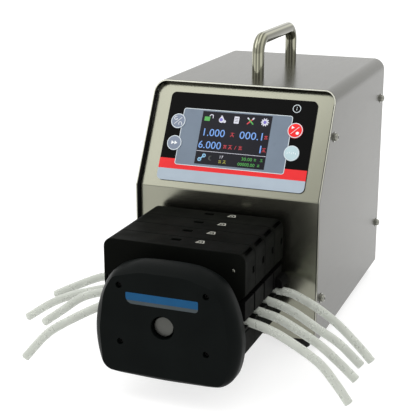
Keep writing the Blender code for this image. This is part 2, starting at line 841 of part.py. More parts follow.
# Each route runs from the head: how far its end swings in y, then x and z in order.
RIGHT_ROUTES = {
    1: (0.0, (0.0543, 0.0670), (0.0720, 0.0635), (0.0910, 0.0562), (0.1203, 0.0395),
        (0.1365, 0.0220), (0.1485, 0.0060)),
    2: (0.0, (0.0543, 0.0670), (0.0700, 0.0640), (0.0827, 0.0597), (0.1127, 0.0440),
        (0.1325, 0.0290), (0.1479, 0.0156)),
    3: (0.0, (0.0543, 0.0670), (0.0700, 0.0636), (0.0847, 0.0580), (0.1052, 0.0463),
        (0.1254, 0.0349), (0.1462, 0.0169)),
    4: (0.0, (0.0543, 0.0670), (0.0660, 0.0665), (0.0765, 0.0644), (0.0974, 0.0547),
        (0.1183, 0.0407), (0.1390, 0.0215), (0.1497, 0.0102)),
}
LEFT_ROUTES = {
    1: (-0.0178, (-0.0543, 0.0670), (-0.0700, 0.0650), (-0.0870, 0.0588), (-0.1202, 0.0396),
        (-0.1355, 0.0275), (-0.1531, 0.0062)),
    2: (0.0, (-0.0543, 0.0670), (-0.0760, 0.0655), (-0.0968, 0.0621), (-0.1169, 0.0538),
        (-0.1361, 0.0393), (-0.1570, 0.0233)),
    3: (0.0, (-0.0543, 0.0670), (-0.0820, 0.0620), (-0.1095, 0.0541), (-0.1407, 0.0433),
        (-0.1648, 0.0313), (-0.1908, 0.0134)),
    4: (0.0, (-0.0543, 0.0670), (-0.0880, 0.0630), (-0.1199, 0.0561), (-0.1470, 0.0440),
        (-0.1737, 0.0301)),
}


def smooth_route(points, steps):
    """A smooth curve through the points (Catmull-Rom), steps to each span."""
    ends = [points[0] * 2 - points[1]] + points + [points[-1] * 2 - points[-2]]
    found = []
    for a, b, c, d in zip(ends, ends[1:], ends[2:], ends[3:]):
        for k in range(steps):
            t = k / steps
            found.append(
                0.5 * (2 * b + (c - a) * t + (2 * a - 5 * b + 4 * c - d) * t**2
                       + (3 * b - a - 3 * c + d) * t**3)
            )
    return found + [points[-1]]


def make_loose_tubes():
    for side, routes in (("right", RIGHT_ROUTES), ("left", LEFT_ROUTES)):
        for number, (swing, *spots) in routes.items():
            middle = sum(head_span(number)) / 2
            reach = abs(spots[-1][0]) - TUBE_EXIT
            points = [
                Vector((x, middle + swing * ((abs(x) - TUBE_EXIT) / reach) ** 2, z))
                for x, z in spots
            ]
            name = f"tube_{number}_{side}"
            part(tube(name, smooth_route(points, 2), TUBE_RADIUS, 2), name, "silicone")


make_cover()
make_front_panel()
make_rear_panel()
make_base_plate()
make_feet()
make_handle()
make_keypad()
make_motor()
make_rear_fittings()
make_adapter()
for head in range(1, HEAD_COUNT + 1):
    make_body(head)
    make_hood(head)
    make_rotor(head)
    make_squeezed_tube(head)
make_front_plate()
make_shaft()
make_hinge_rod()
make_loose_tubes()
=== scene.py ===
"""Looks for the bench peristaltic pump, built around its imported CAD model.

Metres, +Z up, front facing -Y. Places come from the CAD boxes wherever they can.
"""

import math

import bmesh
import bpy
from mathutils import Euler, Matrix, Vector


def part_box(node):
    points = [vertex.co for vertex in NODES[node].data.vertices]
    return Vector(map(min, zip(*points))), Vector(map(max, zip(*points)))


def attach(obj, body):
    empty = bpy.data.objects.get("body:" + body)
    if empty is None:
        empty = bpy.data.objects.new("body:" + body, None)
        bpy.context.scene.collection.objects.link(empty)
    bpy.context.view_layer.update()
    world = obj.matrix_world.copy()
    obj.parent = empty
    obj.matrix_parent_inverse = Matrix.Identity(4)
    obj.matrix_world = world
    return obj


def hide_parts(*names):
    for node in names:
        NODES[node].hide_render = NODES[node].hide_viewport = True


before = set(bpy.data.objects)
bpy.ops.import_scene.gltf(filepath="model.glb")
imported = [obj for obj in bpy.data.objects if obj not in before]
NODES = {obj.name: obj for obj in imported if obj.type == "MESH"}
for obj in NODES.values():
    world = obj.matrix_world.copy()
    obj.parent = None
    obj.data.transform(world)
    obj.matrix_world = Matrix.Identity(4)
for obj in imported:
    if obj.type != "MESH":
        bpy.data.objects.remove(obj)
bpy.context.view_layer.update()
PUMP = "drive_unit"
HEADS = (1, 2, 3, 4)

# ---------------------------------------------------------------- places

CASE_LOW, CASE_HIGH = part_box("cover_shell")
FRONT, REAR = CASE_LOW.y, CASE_HIGH.y
SIDE, CASE_BOTTOM, CASE_TOP = CASE_HIGH.x, CASE_LOW.z, CASE_HIGH.z
CORNER = 0.012
SHEET = 0.0015
BEND_HEIGHT = 0.1483
SET_BACK = 0.0523
PANEL_RECESS = 0.006
CLEAR = 0.0002
SLOPE_ANGLE = math.atan2(SET_BACK, CASE_TOP - BEND_HEIGHT)
UP_SLOPE = Vector((0, math.sin(SLOPE_ANGLE), math.cos(SLOPE_ANGLE)))
OUT_OF_SLOPE = Vector((0, -math.cos(SLOPE_ANGLE), math.sin(SLOPE_ANGLE)))
FILM_BACK, FILM_FACE = -0.0057, -0.0045

SHAFT = Vector((0, 0, 0.072))
HINGE = (-0.060, 0.092)
KNUCKLE_RADIUS = 0.006
HINGE_HOLE = 0.0023
HEAD_WALL = 0.0035
SPLIT_HEIGHT = 0.090
TRACK_RADIUS = 0.040
TUBE_RADIUS = 0.004
TUBE_BORE = 0.0024
TUBE_HEIGHT = 0.067

TURNS = {
    "front": Euler((math.pi / 2, 0, 0)).to_matrix().to_4x4(),
    "side": Euler((math.pi / 2, 0, math.pi / 2)).to_matrix().to_4x4(),
    "top": Matrix.Identity(4),
    "slope": Euler((math.pi / 2 - SLOPE_ANGLE, 0, 0)).to_matrix().to_4x4(),
    "rear": Euler((math.pi / 2, 0, math.pi)).to_matrix().to_4x4(),
}


def on_slope(x, down, out=0.0):
    """A point on the sloping front: x across, down from the top edge, out of it."""
    top = Vector((x, FRONT + SET_BACK, CASE_TOP))
    return top - UP_SLOPE * down + OUT_OF_SLOPE * out


def head_span(number):
    low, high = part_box(f"head_{number}_body")
    return low.y, high.y


# ---------------------------------------------------------------- camera

camera = bpy.data.objects.new("camera", bpy.data.cameras.new("camera"))
bpy.context.scene.collection.objects.link(camera)
camera.data.lens = 91.4
camera.data.sensor_width = 36
camera.data.clip_end = 50
camera.location = (0.3307, -0.9523, 0.4243)
camera.rotation_euler = Euler((math.radians(90 - 16.95), 0, math.radians(21.02)))
bpy.context.scene.camera = camera

# ---------------------------------------------------------------- materials

MATERIALS = {}
MIX_FIRST, MIX_SECOND, MIX_RESULT = 6, 7, 2  # the colour sockets of a Mix node


class Shader:
    """A material being built: a Principled BSDF and the nodes that feed it."""

    def __init__(self, name, colour, roughness, metallic=0.0, **inputs):
        self.material = bpy.data.materials.new(name)
        self.material.use_nodes = True
        self.tree = self.material.node_tree
        self.bsdf = self.tree.nodes["Principled BSDF"]
        self.colour, self.roughness = colour, roughness
        self.set("Base Color", (*colour, 1))
        self.set("Roughness", roughness)
        self.set("Metallic", metallic)
        for socket, value in inputs.items():
            self.set(socket.replace("_", " "), value)
        self.place = self.tree.nodes.new("ShaderNodeTexCoord").outputs["Object"]
        MATERIALS[name] = self.material

    def set(self, socket, value):
        self.bsdf.inputs[socket].default_value = value

    def node(self, kind, **values):
        made = self.tree.nodes.new(kind)
        for key, value in values.items():
            if key in made.inputs:
                made.inputs[key].default_value = value
            else:
                setattr(made, key, value)
        return made

    def link(self, source, target):
        self.tree.links.new(source, target)

    def stretched(self, scale):
        """The object's coordinates, scaled along each axis."""
        mapping = self.node("ShaderNodeMapping", Scale=scale)
        self.link(self.place, mapping.inputs["Vector"])
        return mapping.outputs["Vector"]

    def noise(self, scale, detail=3.0, stretch=(1, 1, 1)):
        made = self.node("ShaderNodeTexNoise", Scale=scale, Detail=detail)
        self.link(self.stretched(stretch), made.inputs["Vector"])
        return made.outputs["Fac"]

    def ranged(self, source, low, high, start=0.3, end=0.7):
        made = self.node("ShaderNodeMapRange")
        self.link(source, made.inputs["Value"])
        for key, value in zip(("From Min", "From Max", "To Min", "To Max"), (start, end, low, high)):
            made.inputs[key].default_value = value
        return made.outputs["Result"]

    def mixed(self, factor, first, second):
        made = self.node("ShaderNodeMix", data_type="RGBA")
        self.link(factor, made.inputs["Factor"])
        for socket, colour in ((MIX_FIRST, first), (MIX_SECOND, second)):
            made.inputs[socket].default_value = (*colour, 1)
        return made.outputs[MIX_RESULT]

    def vary_colour(self, source, share, start=0.3, end=0.7):
        """Colour between darker and lighter by share either way, following source."""
        dark = tuple(c * (1 - share) for c in self.colour)
        light = tuple(min(1, c * (1 + share)) for c in self.colour)
        mix = self.mixed(self.ranged(source, 0, 1, start, end), dark, light)
        self.link(mix, self.bsdf.inputs["Base Color"])

    def vary_roughness(self, source, share, start=0.3, end=0.7):
        low, high = self.roughness * (1 - share), self.roughness * (1 + share)
        self.link(self.ranged(source, low, high, start, end), self.bsdf.inputs["Roughness"])

    def bump(self, source, strength, distance):
        made = self.node("ShaderNodeBump", Strength=strength, Distance=distance)
        self.link(source, made.inputs["Height"])
        self.link(made.outputs["Normal"], self.bsdf.inputs["Normal"])


def steel(name, colour, roughness, grain, stretch):
    """Brushed stainless: fine streaks along one axis over broad, faint smudges."""
    made = Shader(name, colour, roughness, 1.0)
    streaks = made.noise(grain, 3.0, stretch)
    made.vary_colour(made.noise(9.0, 4.0), 0.05)
    made.vary_roughness(streaks, 0.08)
    made.bump(streaks, 0.008, 0.00002)


def reflection_striped_steel(name, colour, roughness, share, scale):
    """Polished bar: broad lines that run along the bar and only change across it, painting reflection stripes
    into the colour.
    """
    made = Shader(name, colour, roughness, 1.0)
    lines = made.node("ShaderNodeTexWave", Scale=scale, Distortion=2.2, Detail=2.0)
    lines.inputs["Detail Scale"].default_value = 1.5
    made.link(made.stretched((1.0, 0.02, 0.02)), lines.inputs["Vector"])
    # Painted reflection: the colour swings darker and lighter by share across the bar, in stripes that stand
    # in for studio reflections.
    made.vary_colour(lines.outputs["Fac"], share, 0.15, 0.85)
    made.vary_roughness(made.noise(120.0, 3.0), 0.25)
    made.bump(made.noise(2500.0, 2.0, (1.0, 0.05, 0.05)), 0.03, 0.00002)


def plastic(name, colour, roughness, specular=0.5, grain=1400.0, relief=0.25):
    """Moulded plastic: fine spark-erosion grain, faint cloudiness and handled patches."""
    made = Shader(name, colour, roughness, Specular_IOR_Level=specular)
    made.vary_colour(made.noise(30.0, 4.0), 0.18)
    made.vary_roughness(made.noise(55.0, 5.0), 0.18)
    made.bump(made.noise(grain, 2.0), relief, 0.00006)


def printed(name, colour, roughness, specular=0.15, metallic=0.0):
    """Ink on film: nearly even, with a faint orange peel."""
    made = Shader(name, colour, roughness, metallic, Specular_IOR_Level=specular)
    made.vary_colour(made.noise(40.0, 3.0), 0.05)
    made.vary_roughness(made.noise(90.0, 3.0), 0.10)
    made.bump(made.noise(700.0, 2.0), 0.06, 0.00005)


def lit(name, colour, strength):
    """Lit dots of the screen: a glow that varies over a fine grid of pixels."""
    made = Shader(name, colour, 0.4)
    made.set("Emission Strength", strength)
    made.vary_colour(made.noise(900.0, 1.0), 0.10)
    source = made.bsdf.inputs["Base Color"].links[0].from_socket
    made.link(source, made.bsdf.inputs["Emission Color"])


steel("case_steel", (0.088, 0.087, 0.077), 0.25, 2600.0, (1.0, 0.02, 1.0))
steel("panel_steel", (0.255, 0.256, 0.205), 0.22, 2600.0, (0.02, 1.0, 1.0))
# Painted highlight: a lighter copy of the case steel, for the cover's cut edge.
steel("edge_highlight_steel", (0.40, 0.40, 0.35), 0.25, 2600.0, (1.0, 0.02, 1.0))
# Painted reflection on the handle: stripes half the colour darker and lighter; faint ones on the spool below.
reflection_striped_steel("handle_steel", (0.250, 0.248, 0.190), 0.10, 0.50, 110.0)
reflection_striped_steel("spool_steel", (0.42, 0.42, 0.40), 0.20, 0.10, 120.0)
steel("screw_steel", (0.25, 0.25, 0.22), 0.20, 2500.0, (1.0, 1.0, 1.0))
steel("shaft_steel", (0.085, 0.086, 0.080), 0.42, 2200.0, (1.0, 1.0, 0.05))
plastic("head_black", (0.0034, 0.0038, 0.0032), 0.50, 0.014)
plastic("plate_black", (0.0030, 0.0040, 0.0038), 0.38, 0.035)
plastic("part_black", (0.003, 0.003, 0.003), 0.50, 0.03)
plastic("socket_black", (0.003, 0.003, 0.003), 0.45, 0.10)
plastic("rubber_black", (0.005, 0.005, 0.005), 0.72, 0.12, 900.0, 0.4)
plastic("roller_nylon", (0.70, 0.68, 0.60), 0.38, 0.5, 900.0, 0.15)
plastic("board_green", (0.02, 0.16, 0.06), 0.45)
plastic("motor_black", (0.02, 0.02, 0.022), 0.45)
printed("film_charcoal", (0.0042, 0.0042, 0.0042), 0.34, 0.03)
printed("film_red", (0.72, 0.026, 0.030), 0.38)
printed("film_light", (0.37, 0.435, 0.505), 0.36)
printed("film_bezel", (0.160, 0.200, 0.255), 0.30)
printed("film_line", (0.62, 0.68, 0.72), 0.36, 0.2)
printed("ink_white", (0.80, 0.82, 0.84), 0.40, 0.2)
printed("key_grey", (0.200, 0.235, 0.310), 0.36)
printed("key_red", (0.80, 0.022, 0.024), 0.34)
printed("key_pale", (0.44, 0.58, 0.62), 0.36)
printed("label_blue", (0.008, 0.064, 0.155), 0.30, 0.08)
printed("label_silver", (0.048, 0.060, 0.066), 0.34, 0.10)
printed("mark_silver", (0.32, 0.32, 0.28), 0.35, 0.3)
printed("brass_pin", (0.70, 0.52, 0.25), 0.28, 0.5, 1.0)
lit("lcd_blue", (0.100, 0.220, 0.500), 0.55)
lit("lcd_red", (0.380, 0.018, 0.030), 0.55)
lit("lcd_green", (0.040, 0.250, 0.040), 0.50)
lit("lcd_yellow", (0.250, 0.240, 0.020), 0.50)
lit("lcd_white", (0.420, 0.420, 0.480), 0.50)
lit("lcd_violet", (0.110, 0.090, 0.350), 0.50)
lit("lcd_cyan", (0.160, 0.330, 0.480), 0.50)
lit("lcd_dark", (0.020, 0.026, 0.023), 0.20)

glass = Shader("lcd_glass", (0.0075, 0.0075, 0.0125), 0.16, Specular_IOR_Level=0.12)
glass.vary_roughness(glass.noise(60.0, 3.0), 0.25)
glass.bump(glass.noise(400.0, 1.0), 0.02, 0.00003)

silicone = Shader("silicone", (0.66, 0.685, 0.63), 0.30, IOR=1.40, Transmission_Weight=0.38)
silicone.vary_colour(silicone.noise(60.0, 4.0), 0.05)
silicone.vary_roughness(silicone.noise(150.0, 3.0), 0.20)
silicone.bump(silicone.noise(300.0, 2.0), 0.03, 0.00003)

# ---------------------------------------------------------------- shape helpers

WELD = 1e-6


def arc(centre, radius, start, end, steps):
    """Points on an arc, angles in degrees, both ends included."""
    angles = [math.radians(start + (end - start) * i / steps) for i in range(steps + 1)]
    return [(centre[0] + radius * math.cos(a), centre[1] + radius * math.sin(a)) for a in angles]


def rounded(corners, steps=8):
    """Turns corners (x, y, radius) into outline points with round corners."""
    points = []
    for i, (x, y, radius) in enumerate(corners):
        here = Vector((x, y))
        if radius == 0:
            points.append((x, y))
            continue
        before = (Vector(corners[i - 1][:2]) - here).normalized()
        after = (Vector(corners[(i + 1) % len(corners)][:2]) - here).normalized()
        half = before.angle(after) / 2
        reach = radius / math.tan(half)
        centre = here + (before + after).normalized() * radius / math.sin(half)
        start = here + before * reach - centre
        turn = (math.pi - 2 * half) * (1 if before.cross(after) < 0 else -1)
        first = math.atan2(start.y, start.x)
        for k in range(steps + 1):
            angle = first + turn * k / steps
            points.append((centre.x + radius * math.cos(angle), centre.y + radius * math.sin(angle)))
    return points


def rectangle(low, high, radius, steps=8):
    """Outline of a box from low (x, y) to high (x, y), with round corners."""
    (x0, y0), (x1, y1) = low, high
    return rounded([(x0, y0, radius), (x1, y0, radius), (x1, y1, radius), (x0, y1, radius)], steps)


def tapered(centre, low, high, steps=8):
    """Outline with a lower and an upper edge, each (half width, height, corner radius)."""
    x, y = centre
    corners = [(x + side * low[0], y + low[1], low[2]) for side in (-1, 1)]
    corners += [(x + side * high[0], y + high[1], high[2]) for side in (1, -1)]
    return rounded(corners, steps)


def circle(centre, radius, steps=48):
    return arc(centre, radius, 0, 360 * (1 - 1 / steps), steps - 1)


def raw(name, shape):
    """A new mesh object from a bmesh, with faces pointing outwards."""
    bmesh.ops.recalc_face_normals(shape, faces=shape.faces)
    mesh = bpy.data.meshes.new(name)
    shape.to_mesh(mesh)
    shape.free()
    made = bpy.data.objects.new(name, mesh)
    bpy.context.scene.collection.objects.link(made)
    return made


def baked(made):
    """Applies the object's modifiers, or a curve's shape, and its place to a mesh."""
    bpy.context.view_layer.update()
    graph = bpy.context.evaluated_depsgraph_get()
    evaluated = made.evaluated_get(graph)
    mesh = bpy.data.meshes.new_from_object(evaluated, preserve_all_data_layers=True, depsgraph=graph)
    mesh.transform(made.matrix_world)
    name = made.name
    bpy.data.objects.remove(made)
    fresh = bpy.data.objects.new(name, mesh)
    bpy.context.scene.collection.objects.link(fresh)
    return fresh


def welded(made, flat_angle=0.3):
    """Merges loose points and melts flat triangles into whole faces."""
    shape = bmesh.new()
    shape.from_mesh(made.data)
    bmesh.ops.remove_doubles(shape, verts=shape.verts, dist=WELD)
    bmesh.ops.dissolve_limit(
        shape, angle_limit=math.radians(flat_angle), verts=shape.verts, edges=shape.edges
    )
    bmesh.ops.recalc_face_normals(shape, faces=shape.faces)
    shape.to_mesh(made.data)
    shape.free()
    return made


def slab(outlines, facing, start, end, origin=(0, 0, 0)):
    """Flat outlines (the first one outside, the rest holes) given thickness.

    "front" draws in XZ and grows along -Y, "rear" is seen from behind and grows along
    +Y, "side" draws in YZ and grows along +X, "top" grows up, and "slope" draws in
    (x, -down) and grows out of the sloping panel.
    """
    if not isinstance(outlines[0], list):
        outlines = [outlines]
    curve = bpy.data.curves.new("slab", "CURVE")
    curve.dimensions = "2D"
    curve.fill_mode = "BOTH"
    curve.extrude = (end - start) / 2
    for outline in outlines:
        line = curve.splines.new("POLY")
        line.points.add(len(outline) - 1)
        for spot, (x, y) in zip(line.points, outline):
            spot.co = (x, y, 0, 1)
        line.use_cyclic_u = True
    made = bpy.data.objects.new("slab", curve)
    bpy.context.scene.collection.objects.link(made)
    offset = Matrix.Translation((0, 0, (start + end) / 2))
    made.matrix_world = Matrix.Translation(origin) @ TURNS[facing] @ offset
    return welded(baked(made))


def box(low, high):
    (x0, y0, z0), (x1, y1, z1) = low, high
    return slab([(x0, y0), (x1, y0), (x1, y1), (x0, y1)], "top", z0, z1)


def rod(start, end, radius, sides=48):
    start, end = Vector(start), Vector(end)
    turn = (end - start).to_track_quat("Z", "Y").to_matrix().to_4x4()
    shape = bmesh.new()
    bmesh.ops.create_cone(
        shape,
        cap_ends=True,
        segments=sides,
        radius1=radius,
        radius2=radius,
        depth=(end - start).length,
        matrix=Matrix.Translation((start + end) / 2) @ turn,
    )
    return raw("rod", shape)


def axle(x, z, start, end, radius, sides=48):
    """A rod along Y, from start to end."""
    return rod((x, start, z), (x, end, z), radius, sides)


def turned(profile, base, axis, sides=64):
    """A body turned about axis through base; profile is (radius, height) points."""
    turn = Vector(axis).to_track_quat("Z", "Y").to_matrix().to_4x4()
    place = Matrix.Translation(base) @ turn
    closed = profile[0][0] > 0
    shape = bmesh.new()
    rings = []
    for radius, height in profile:
        if radius == 0:
            rings.append([shape.verts.new(place @ Vector((0, 0, height)))])
            continue
        angles = [2 * math.pi * k / sides for k in range(sides)]
        spots = [(radius * math.cos(a), radius * math.sin(a), height) for a in angles]
        rings.append([shape.verts.new(place @ Vector(spot)) for spot in spots])
    join_rings(shape, rings, closed)
    return raw("turned", shape)


def join_rings(shape, rings, closed):
    """Faces between each ring of points and the next; a ring may be a single point."""
    pairs = list(zip(rings, rings[1:] + rings[:1]))
    for first, second in pairs if closed else pairs[:-1]:
        count = max(len(first), len(second))
        for k in range(count):
            n = (k + 1) % count
            if len(first) == 1:
                shape.faces.new((first[0], second[n], second[k]))
            elif len(second) == 1:
                shape.faces.new((first[k], first[n], second[0]))
            else:
                shape.faces.new((first[k], first[n], second[n], second[k]))


def cut(made, tools, operation="DIFFERENCE"):
    """Applies Booleans with the tools, and removes them."""
    for tool in tools:
        step = made.modifiers.new("cut", "BOOLEAN")
        step.operation = operation
        step.object = tool
    name = made.name
    made = baked(made)
    made.name = name
    for tool in tools:
        bpy.data.objects.remove(tool)
    return welded(made)


def softened(made, width, segments=3, angle=30):
    """Rounds the edges sharper than angle, and keeps the flat faces' shading flat."""
    made.data.shade_smooth()
    step = made.modifiers.new("edges", "BEVEL")
    step.width = width
    step.segments = segments
    step.limit_method = "ANGLE"
    step.angle_limit = math.radians(angle)
    step.use_clamp_overlap = True
    step.miter_outer = "MITER_ARC"
    step = made.modifiers.new("normals", "WEIGHTED_NORMAL")
    step.weight = 90
    step.keep_sharp = True
    return baked(made)


def smoothed(made, angle=35):
    made.data.shade_smooth()
    made.data.set_sharp_from_angle(angle=math.radians(angle))
    return made


def joined(pieces):
    """One mesh object of several."""
    shape = bmesh.new()
    for piece in pieces:
        shape.from_mesh(piece.data)
        bpy.data.objects.remove(piece)
    mesh = bpy.data.meshes.new("joined")
    shape.to_mesh(mesh)
    shape.free()
    made = bpy.data.objects.new("joined", mesh)
    bpy.context.scene.collection.objects.link(made)
    return smoothed(made)


def piece(made, name, material, slot, body=PUMP, replaces=()):
    """Names the piece, dresses it and puts it on its body."""
    made.name = name
    made.data.name = name
    made.data.materials.clear()
    made.data.materials.append(MATERIALS[material])
    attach(made, body)
    if replaces:
        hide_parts(*replaces)
    return made


def smooth_route(points, steps):
    """A smooth curve through the points (Catmull-Rom), steps to each span."""
    ends = [points[0] * 2 - points[1]] + points + [points[-1] * 2 - points[-2]]
    found = []
    for a, b, c, d in zip(ends, ends[1:], ends[2:], ends[3:]):
        for k in range(steps):
            t = k / steps
            found.append(
                0.5 * (2 * b + (c - a) * t + (2 * a - 5 * b + 4 * c - d) * t**2
                       + (3 * b - a - 3 * c + d) * t**3)
            )
    return found + [points[-1]]


def swept(route, rings, sides=28):
    """A body swept along route; each ring is (place in route, radius, shift along it)."""
    shape = bmesh.new()
    loops = []
    last = len(route) - 1
    for index, radius, shift in rings:
        along = (route[min(index + 1, last)] - route[max(index - 1, 0)]).normalized()
        across = (Vector((0, 1, 0)) - along * along.y).normalized()
        other = along.cross(across)
        centre = route[index] + along * shift
        loop = []
        for k in range(sides):
            a = 2 * math.pi * k / sides
            spot = centre + (across * math.cos(a) + other * math.sin(a)) * radius
            loop.append(shape.verts.new(spot))
        loops.append(loop)
    join_rings(shape, loops, True)
    return raw("swept", shape)


# ---------------------------------------------------------------- loose tube ends

TUBE_EXIT = (0.0543, TUBE_HEIGHT)
# For each free end: how far its tip swings along Y, then its (distance from the middle, height) points.
TUBE_ROUTES = {
    "right": {
        1: (0.0, (0.072, 0.0635), (0.091, 0.0562), (0.1203, 0.0395), (0.1365, 0.022), (0.1485, 0.006)),
        2: (0.0, (0.07, 0.064), (0.0827, 0.0597), (0.1127, 0.044), (0.1325, 0.029), (0.1479, 0.0156)),
        3: (0.0, (0.07, 0.0636), (0.0847, 0.058), (0.1052, 0.0463), (0.1254, 0.0349), (0.1462, 0.0169)),
        4: (0.0, (0.066, 0.0665), (0.0765, 0.0644), (0.0974, 0.0547), (0.1183, 0.0407),
            (0.139, 0.0215), (0.1497, 0.0102)),
    },
    "left": {
        1: (-0.0178, (0.07, 0.065), (0.087, 0.0588), (0.1202, 0.0396), (0.1355, 0.0275),
            (0.1531, 0.0062)),
        2: (0.0, (0.076, 0.0655), (0.0968, 0.0621), (0.1169, 0.0538), (0.1361, 0.0393), (0.157, 0.0233)),
        3: (0.0, (0.082, 0.062), (0.1095, 0.0541), (0.1407, 0.0433), (0.1648, 0.0313), (0.1908, 0.0134)),
        4: (0.0, (0.088, 0.063), (0.1199, 0.0561), (0.147, 0.044), (0.1737, 0.0301)),
    },
}


def loose_tube(number, side, swing, *spots):
    """A cut length of silicone tube, with its bore open at the free end."""
    middle = sum(head_span(number)) / 2
    sign = -1 if side == "left" else 1
    exit_x = TUBE_EXIT[0]
    reach = spots[-1][0] - exit_x
    points = []
    for x, z in (TUBE_EXIT, *spots):
        points.append(Vector((sign * x, middle + swing * ((x - exit_x) / reach) ** 2, z)))
    route = smooth_route(points, 6)
    last = len(route) - 1
    rings = [(i, TUBE_RADIUS, 0) for i in range(last)]
    soft = 0.0004
    rings += [(last, TUBE_RADIUS, -soft), (last, TUBE_RADIUS - soft, 0), (last, TUBE_BORE, 0)]
    rings += [(i, TUBE_BORE, 0) for i in range(last - 1, -1, -1)]
    name = f"loose_tube_{number}_{side}"
    made = smoothed(swept(route, rings), 50)
    piece(made, name, "silicone", "silicone", replaces=[f"tube_{number}_{side}"])


for side, routes in TUBE_ROUTES.items():
    for number, route in routes.items():
        loose_tube(number, side, *route)

# ---------------------------------------------------------------- floor and light


def make_floor():
    floor = bpy.data.objects.new("floor", bpy.data.meshes.new("floor"))
    shape = bmesh.new()
    bmesh.ops.create_grid(shape, x_segments=1, y_segments=1, size=12)
    shape.to_mesh(floor.data)
    shape.free()
    bpy.context.scene.collection.objects.link(floor)
    paint = Shader("floor_white", (0.42, 0.42, 0.42), 0.9)
    paint.set("Specular IOR Level", 0.0)
    paint.set("Emission Color", (1.0, 1.0, 1.0, 1))
    paint.set("Emission Strength", 0.72)
    floor.data.materials.append(paint.material)


def area_light(name, place, size, power):
    """A square softbox that faces the object."""
    light = bpy.data.lights.new(name, "AREA")
    light.shape = "RECTANGLE"
    light.size = light.size_y = size
    light.energy = power
    lamp = bpy.data.objects.new(name, light)
    lamp.location = place
    lamp.rotation_euler = (Vector(TARGET) - Vector(place)).to_track_quat("-Z", "Y").to_euler()
    bpy.context.scene.collection.objects.link(lamp)


def make_world():
    """A white studio, brightest behind the object and overhead."""
    world = bpy.data.worlds.new("studio")
    world.use_nodes = True
    bpy.context.scene.world = world
    tree = world.node_tree
    background = tree.nodes["Background"]
    place = tree.nodes.new("ShaderNodeTexCoord")
    split = tree.nodes.new("ShaderNodeSeparateXYZ")
    tree.links.new(place.outputs["Generated"], split.inputs["Vector"])
    total = None
    for axis, low, high in (("Y", 0.72, 0.98), ("Z", -0.10, 0.30)):
        part = tree.nodes.new("ShaderNodeMapRange")
        spans = {"From Min": -0.7, "From Max": 0.7, "To Min": low, "To Max": high}
        for socket, value in spans.items():
            part.inputs[socket].default_value = value
        tree.links.new(split.outputs[axis], part.inputs["Value"])
        if total is None:
            total = part.outputs["Result"]
            continue
        add = tree.nodes.new("ShaderNodeMath")
        tree.links.new(total, add.inputs[0])
        tree.links.new(part.outputs["Result"], add.inputs[1])
        total = add.outputs["Value"]
    tree.links.new(total, background.inputs["Strength"])
    background.inputs["Color"].default_value = (1.0, 1.0, 0.985, 1)


make_world()
make_floor()
TARGET = (0, -0.03, 0.12)
area_light("top_softbox", (-0.3, -0.2, 2.2), 2.4, 9)
area_light("left_softbox", (-1.05, -0.85, 1.65), 1.6, 10)
bpy.context.scene.view_settings.view_transform = "Standard"

# ---------------------------------------------------------------- case


def channel(outer, inner):
    """An upside-down U seen from the front, between two (side, top, corner) outlines."""
    (side, top, corner), (near, under, bend) = outer, inner
    bottom = CASE_BOTTOM
    corners = [(-side, bottom, 0), (-near, bottom, 0), (-near, under, bend), (near, under, bend)]
    corners += [(near, bottom, 0), (side, bottom, 0), (side, top, corner), (-side, top, corner)]
    return rounded(corners, 14)


def front_profile(depth, round_bend, height):
    """Bottom, bend and top (y, z, radius) of a face lying depth behind the cover's edge."""
    bend = BEND_HEIGHT - depth * math.tan(SLOPE_ANGLE / 2)
    lean = (height - bend) * math.tan(SLOPE_ANGLE)
    return [
        (FRONT + depth, CASE_BOTTOM, 0),
        (FRONT + depth, bend, round_bend),
        (FRONT + depth + lean, height, 0),
    ]


def bent_sheet(near, far, width, height):
    """A sheet that follows the case's front, between two depths behind its edge."""
    outline = rounded(front_profile(near, 0.0028, height) + front_profile(far, 0.0013, height)[::-1], 6)
    return slab(outline, "side", -width / 2, width / 2)


def make_cover():
    whole = (SIDE, CASE_TOP, CORNER)
    cover = slab(channel(whole, [size - SHEET for size in whole]), "front", -REAR, -FRONT)
    reach = 0.1
    wedge = [
        (FRONT - reach, BEND_HEIGHT),
        (FRONT, BEND_HEIGHT),
        (FRONT + SET_BACK * 1.2, CASE_TOP + SET_BACK * 0.2 / math.tan(SLOPE_ANGLE)),
        (FRONT - reach, CASE_TOP + reach),
    ]
    cover = cut(cover, [slab(wedge, "side", -0.2, 0.2)])
    piece(softened(cover, 0.0004, 2), "cover", "case_steel", "stainless", replaces=["cover_shell"])

    # Painted highlight: the cover's cut front edge gets a thin skin of lighter steel, so it reads as a bright
    # line.
    outer = [size - CLEAR for size in whole]
    inner = [size - SHEET + CLEAR for size in whole]
    edge = slab(channel(outer, inner), "front", -REAR, -FRONT + 0.01)
    edge = cut(edge, [bent_sheet(-0.0001, 0.0004, 0.3, CASE_TOP + 0.01)], "INTERSECT")
    piece(softened(edge, 0.0001, 1), "cover_edge", "edge_highlight_steel", "stainless")


def make_front_panel():
    height = CASE_TOP - SHEET - CLEAR
    panel = bent_sheet(PANEL_RECESS, PANEL_RECESS + SHEET, 0.2, CASE_TOP + 0.01)
    side = SIDE - SHEET - 0.0008
    inside = tapered((0, 0), (side, CASE_BOTTOM, 0), (side, height, 0.0100), 14)
    panel = cut(panel, [slab(inside, "front", -REAR, -FRONT + 0.05)], "INTERSECT")
    piece(softened(panel, 0.0005), "front_face", "panel_steel", "stainless", replaces=["front_panel"])

    # Painted shade: thin black strips line the inner side walls of the panel's recess, standing in for the
    # shade in the gap beside the panel.
    strips = []
    for sign in (-1, 1):
        near, far = sorted((sign * (SIDE - SHEET - 0.0006), sign * (SIDE - SHEET)))
        strip = bent_sheet(0.0006, PANEL_RECESS - CLEAR, 0.3, CASE_TOP - CORNER)
        bounds = box((near, FRONT - 0.01, CASE_BOTTOM), (far, REAR, CASE_TOP))
        strips.append(softened(cut(strip, [bounds], "INTERSECT"), 0.0001, 1))
    piece(joined(strips), "panel_recess_shade", "rubber_black", "rubber")


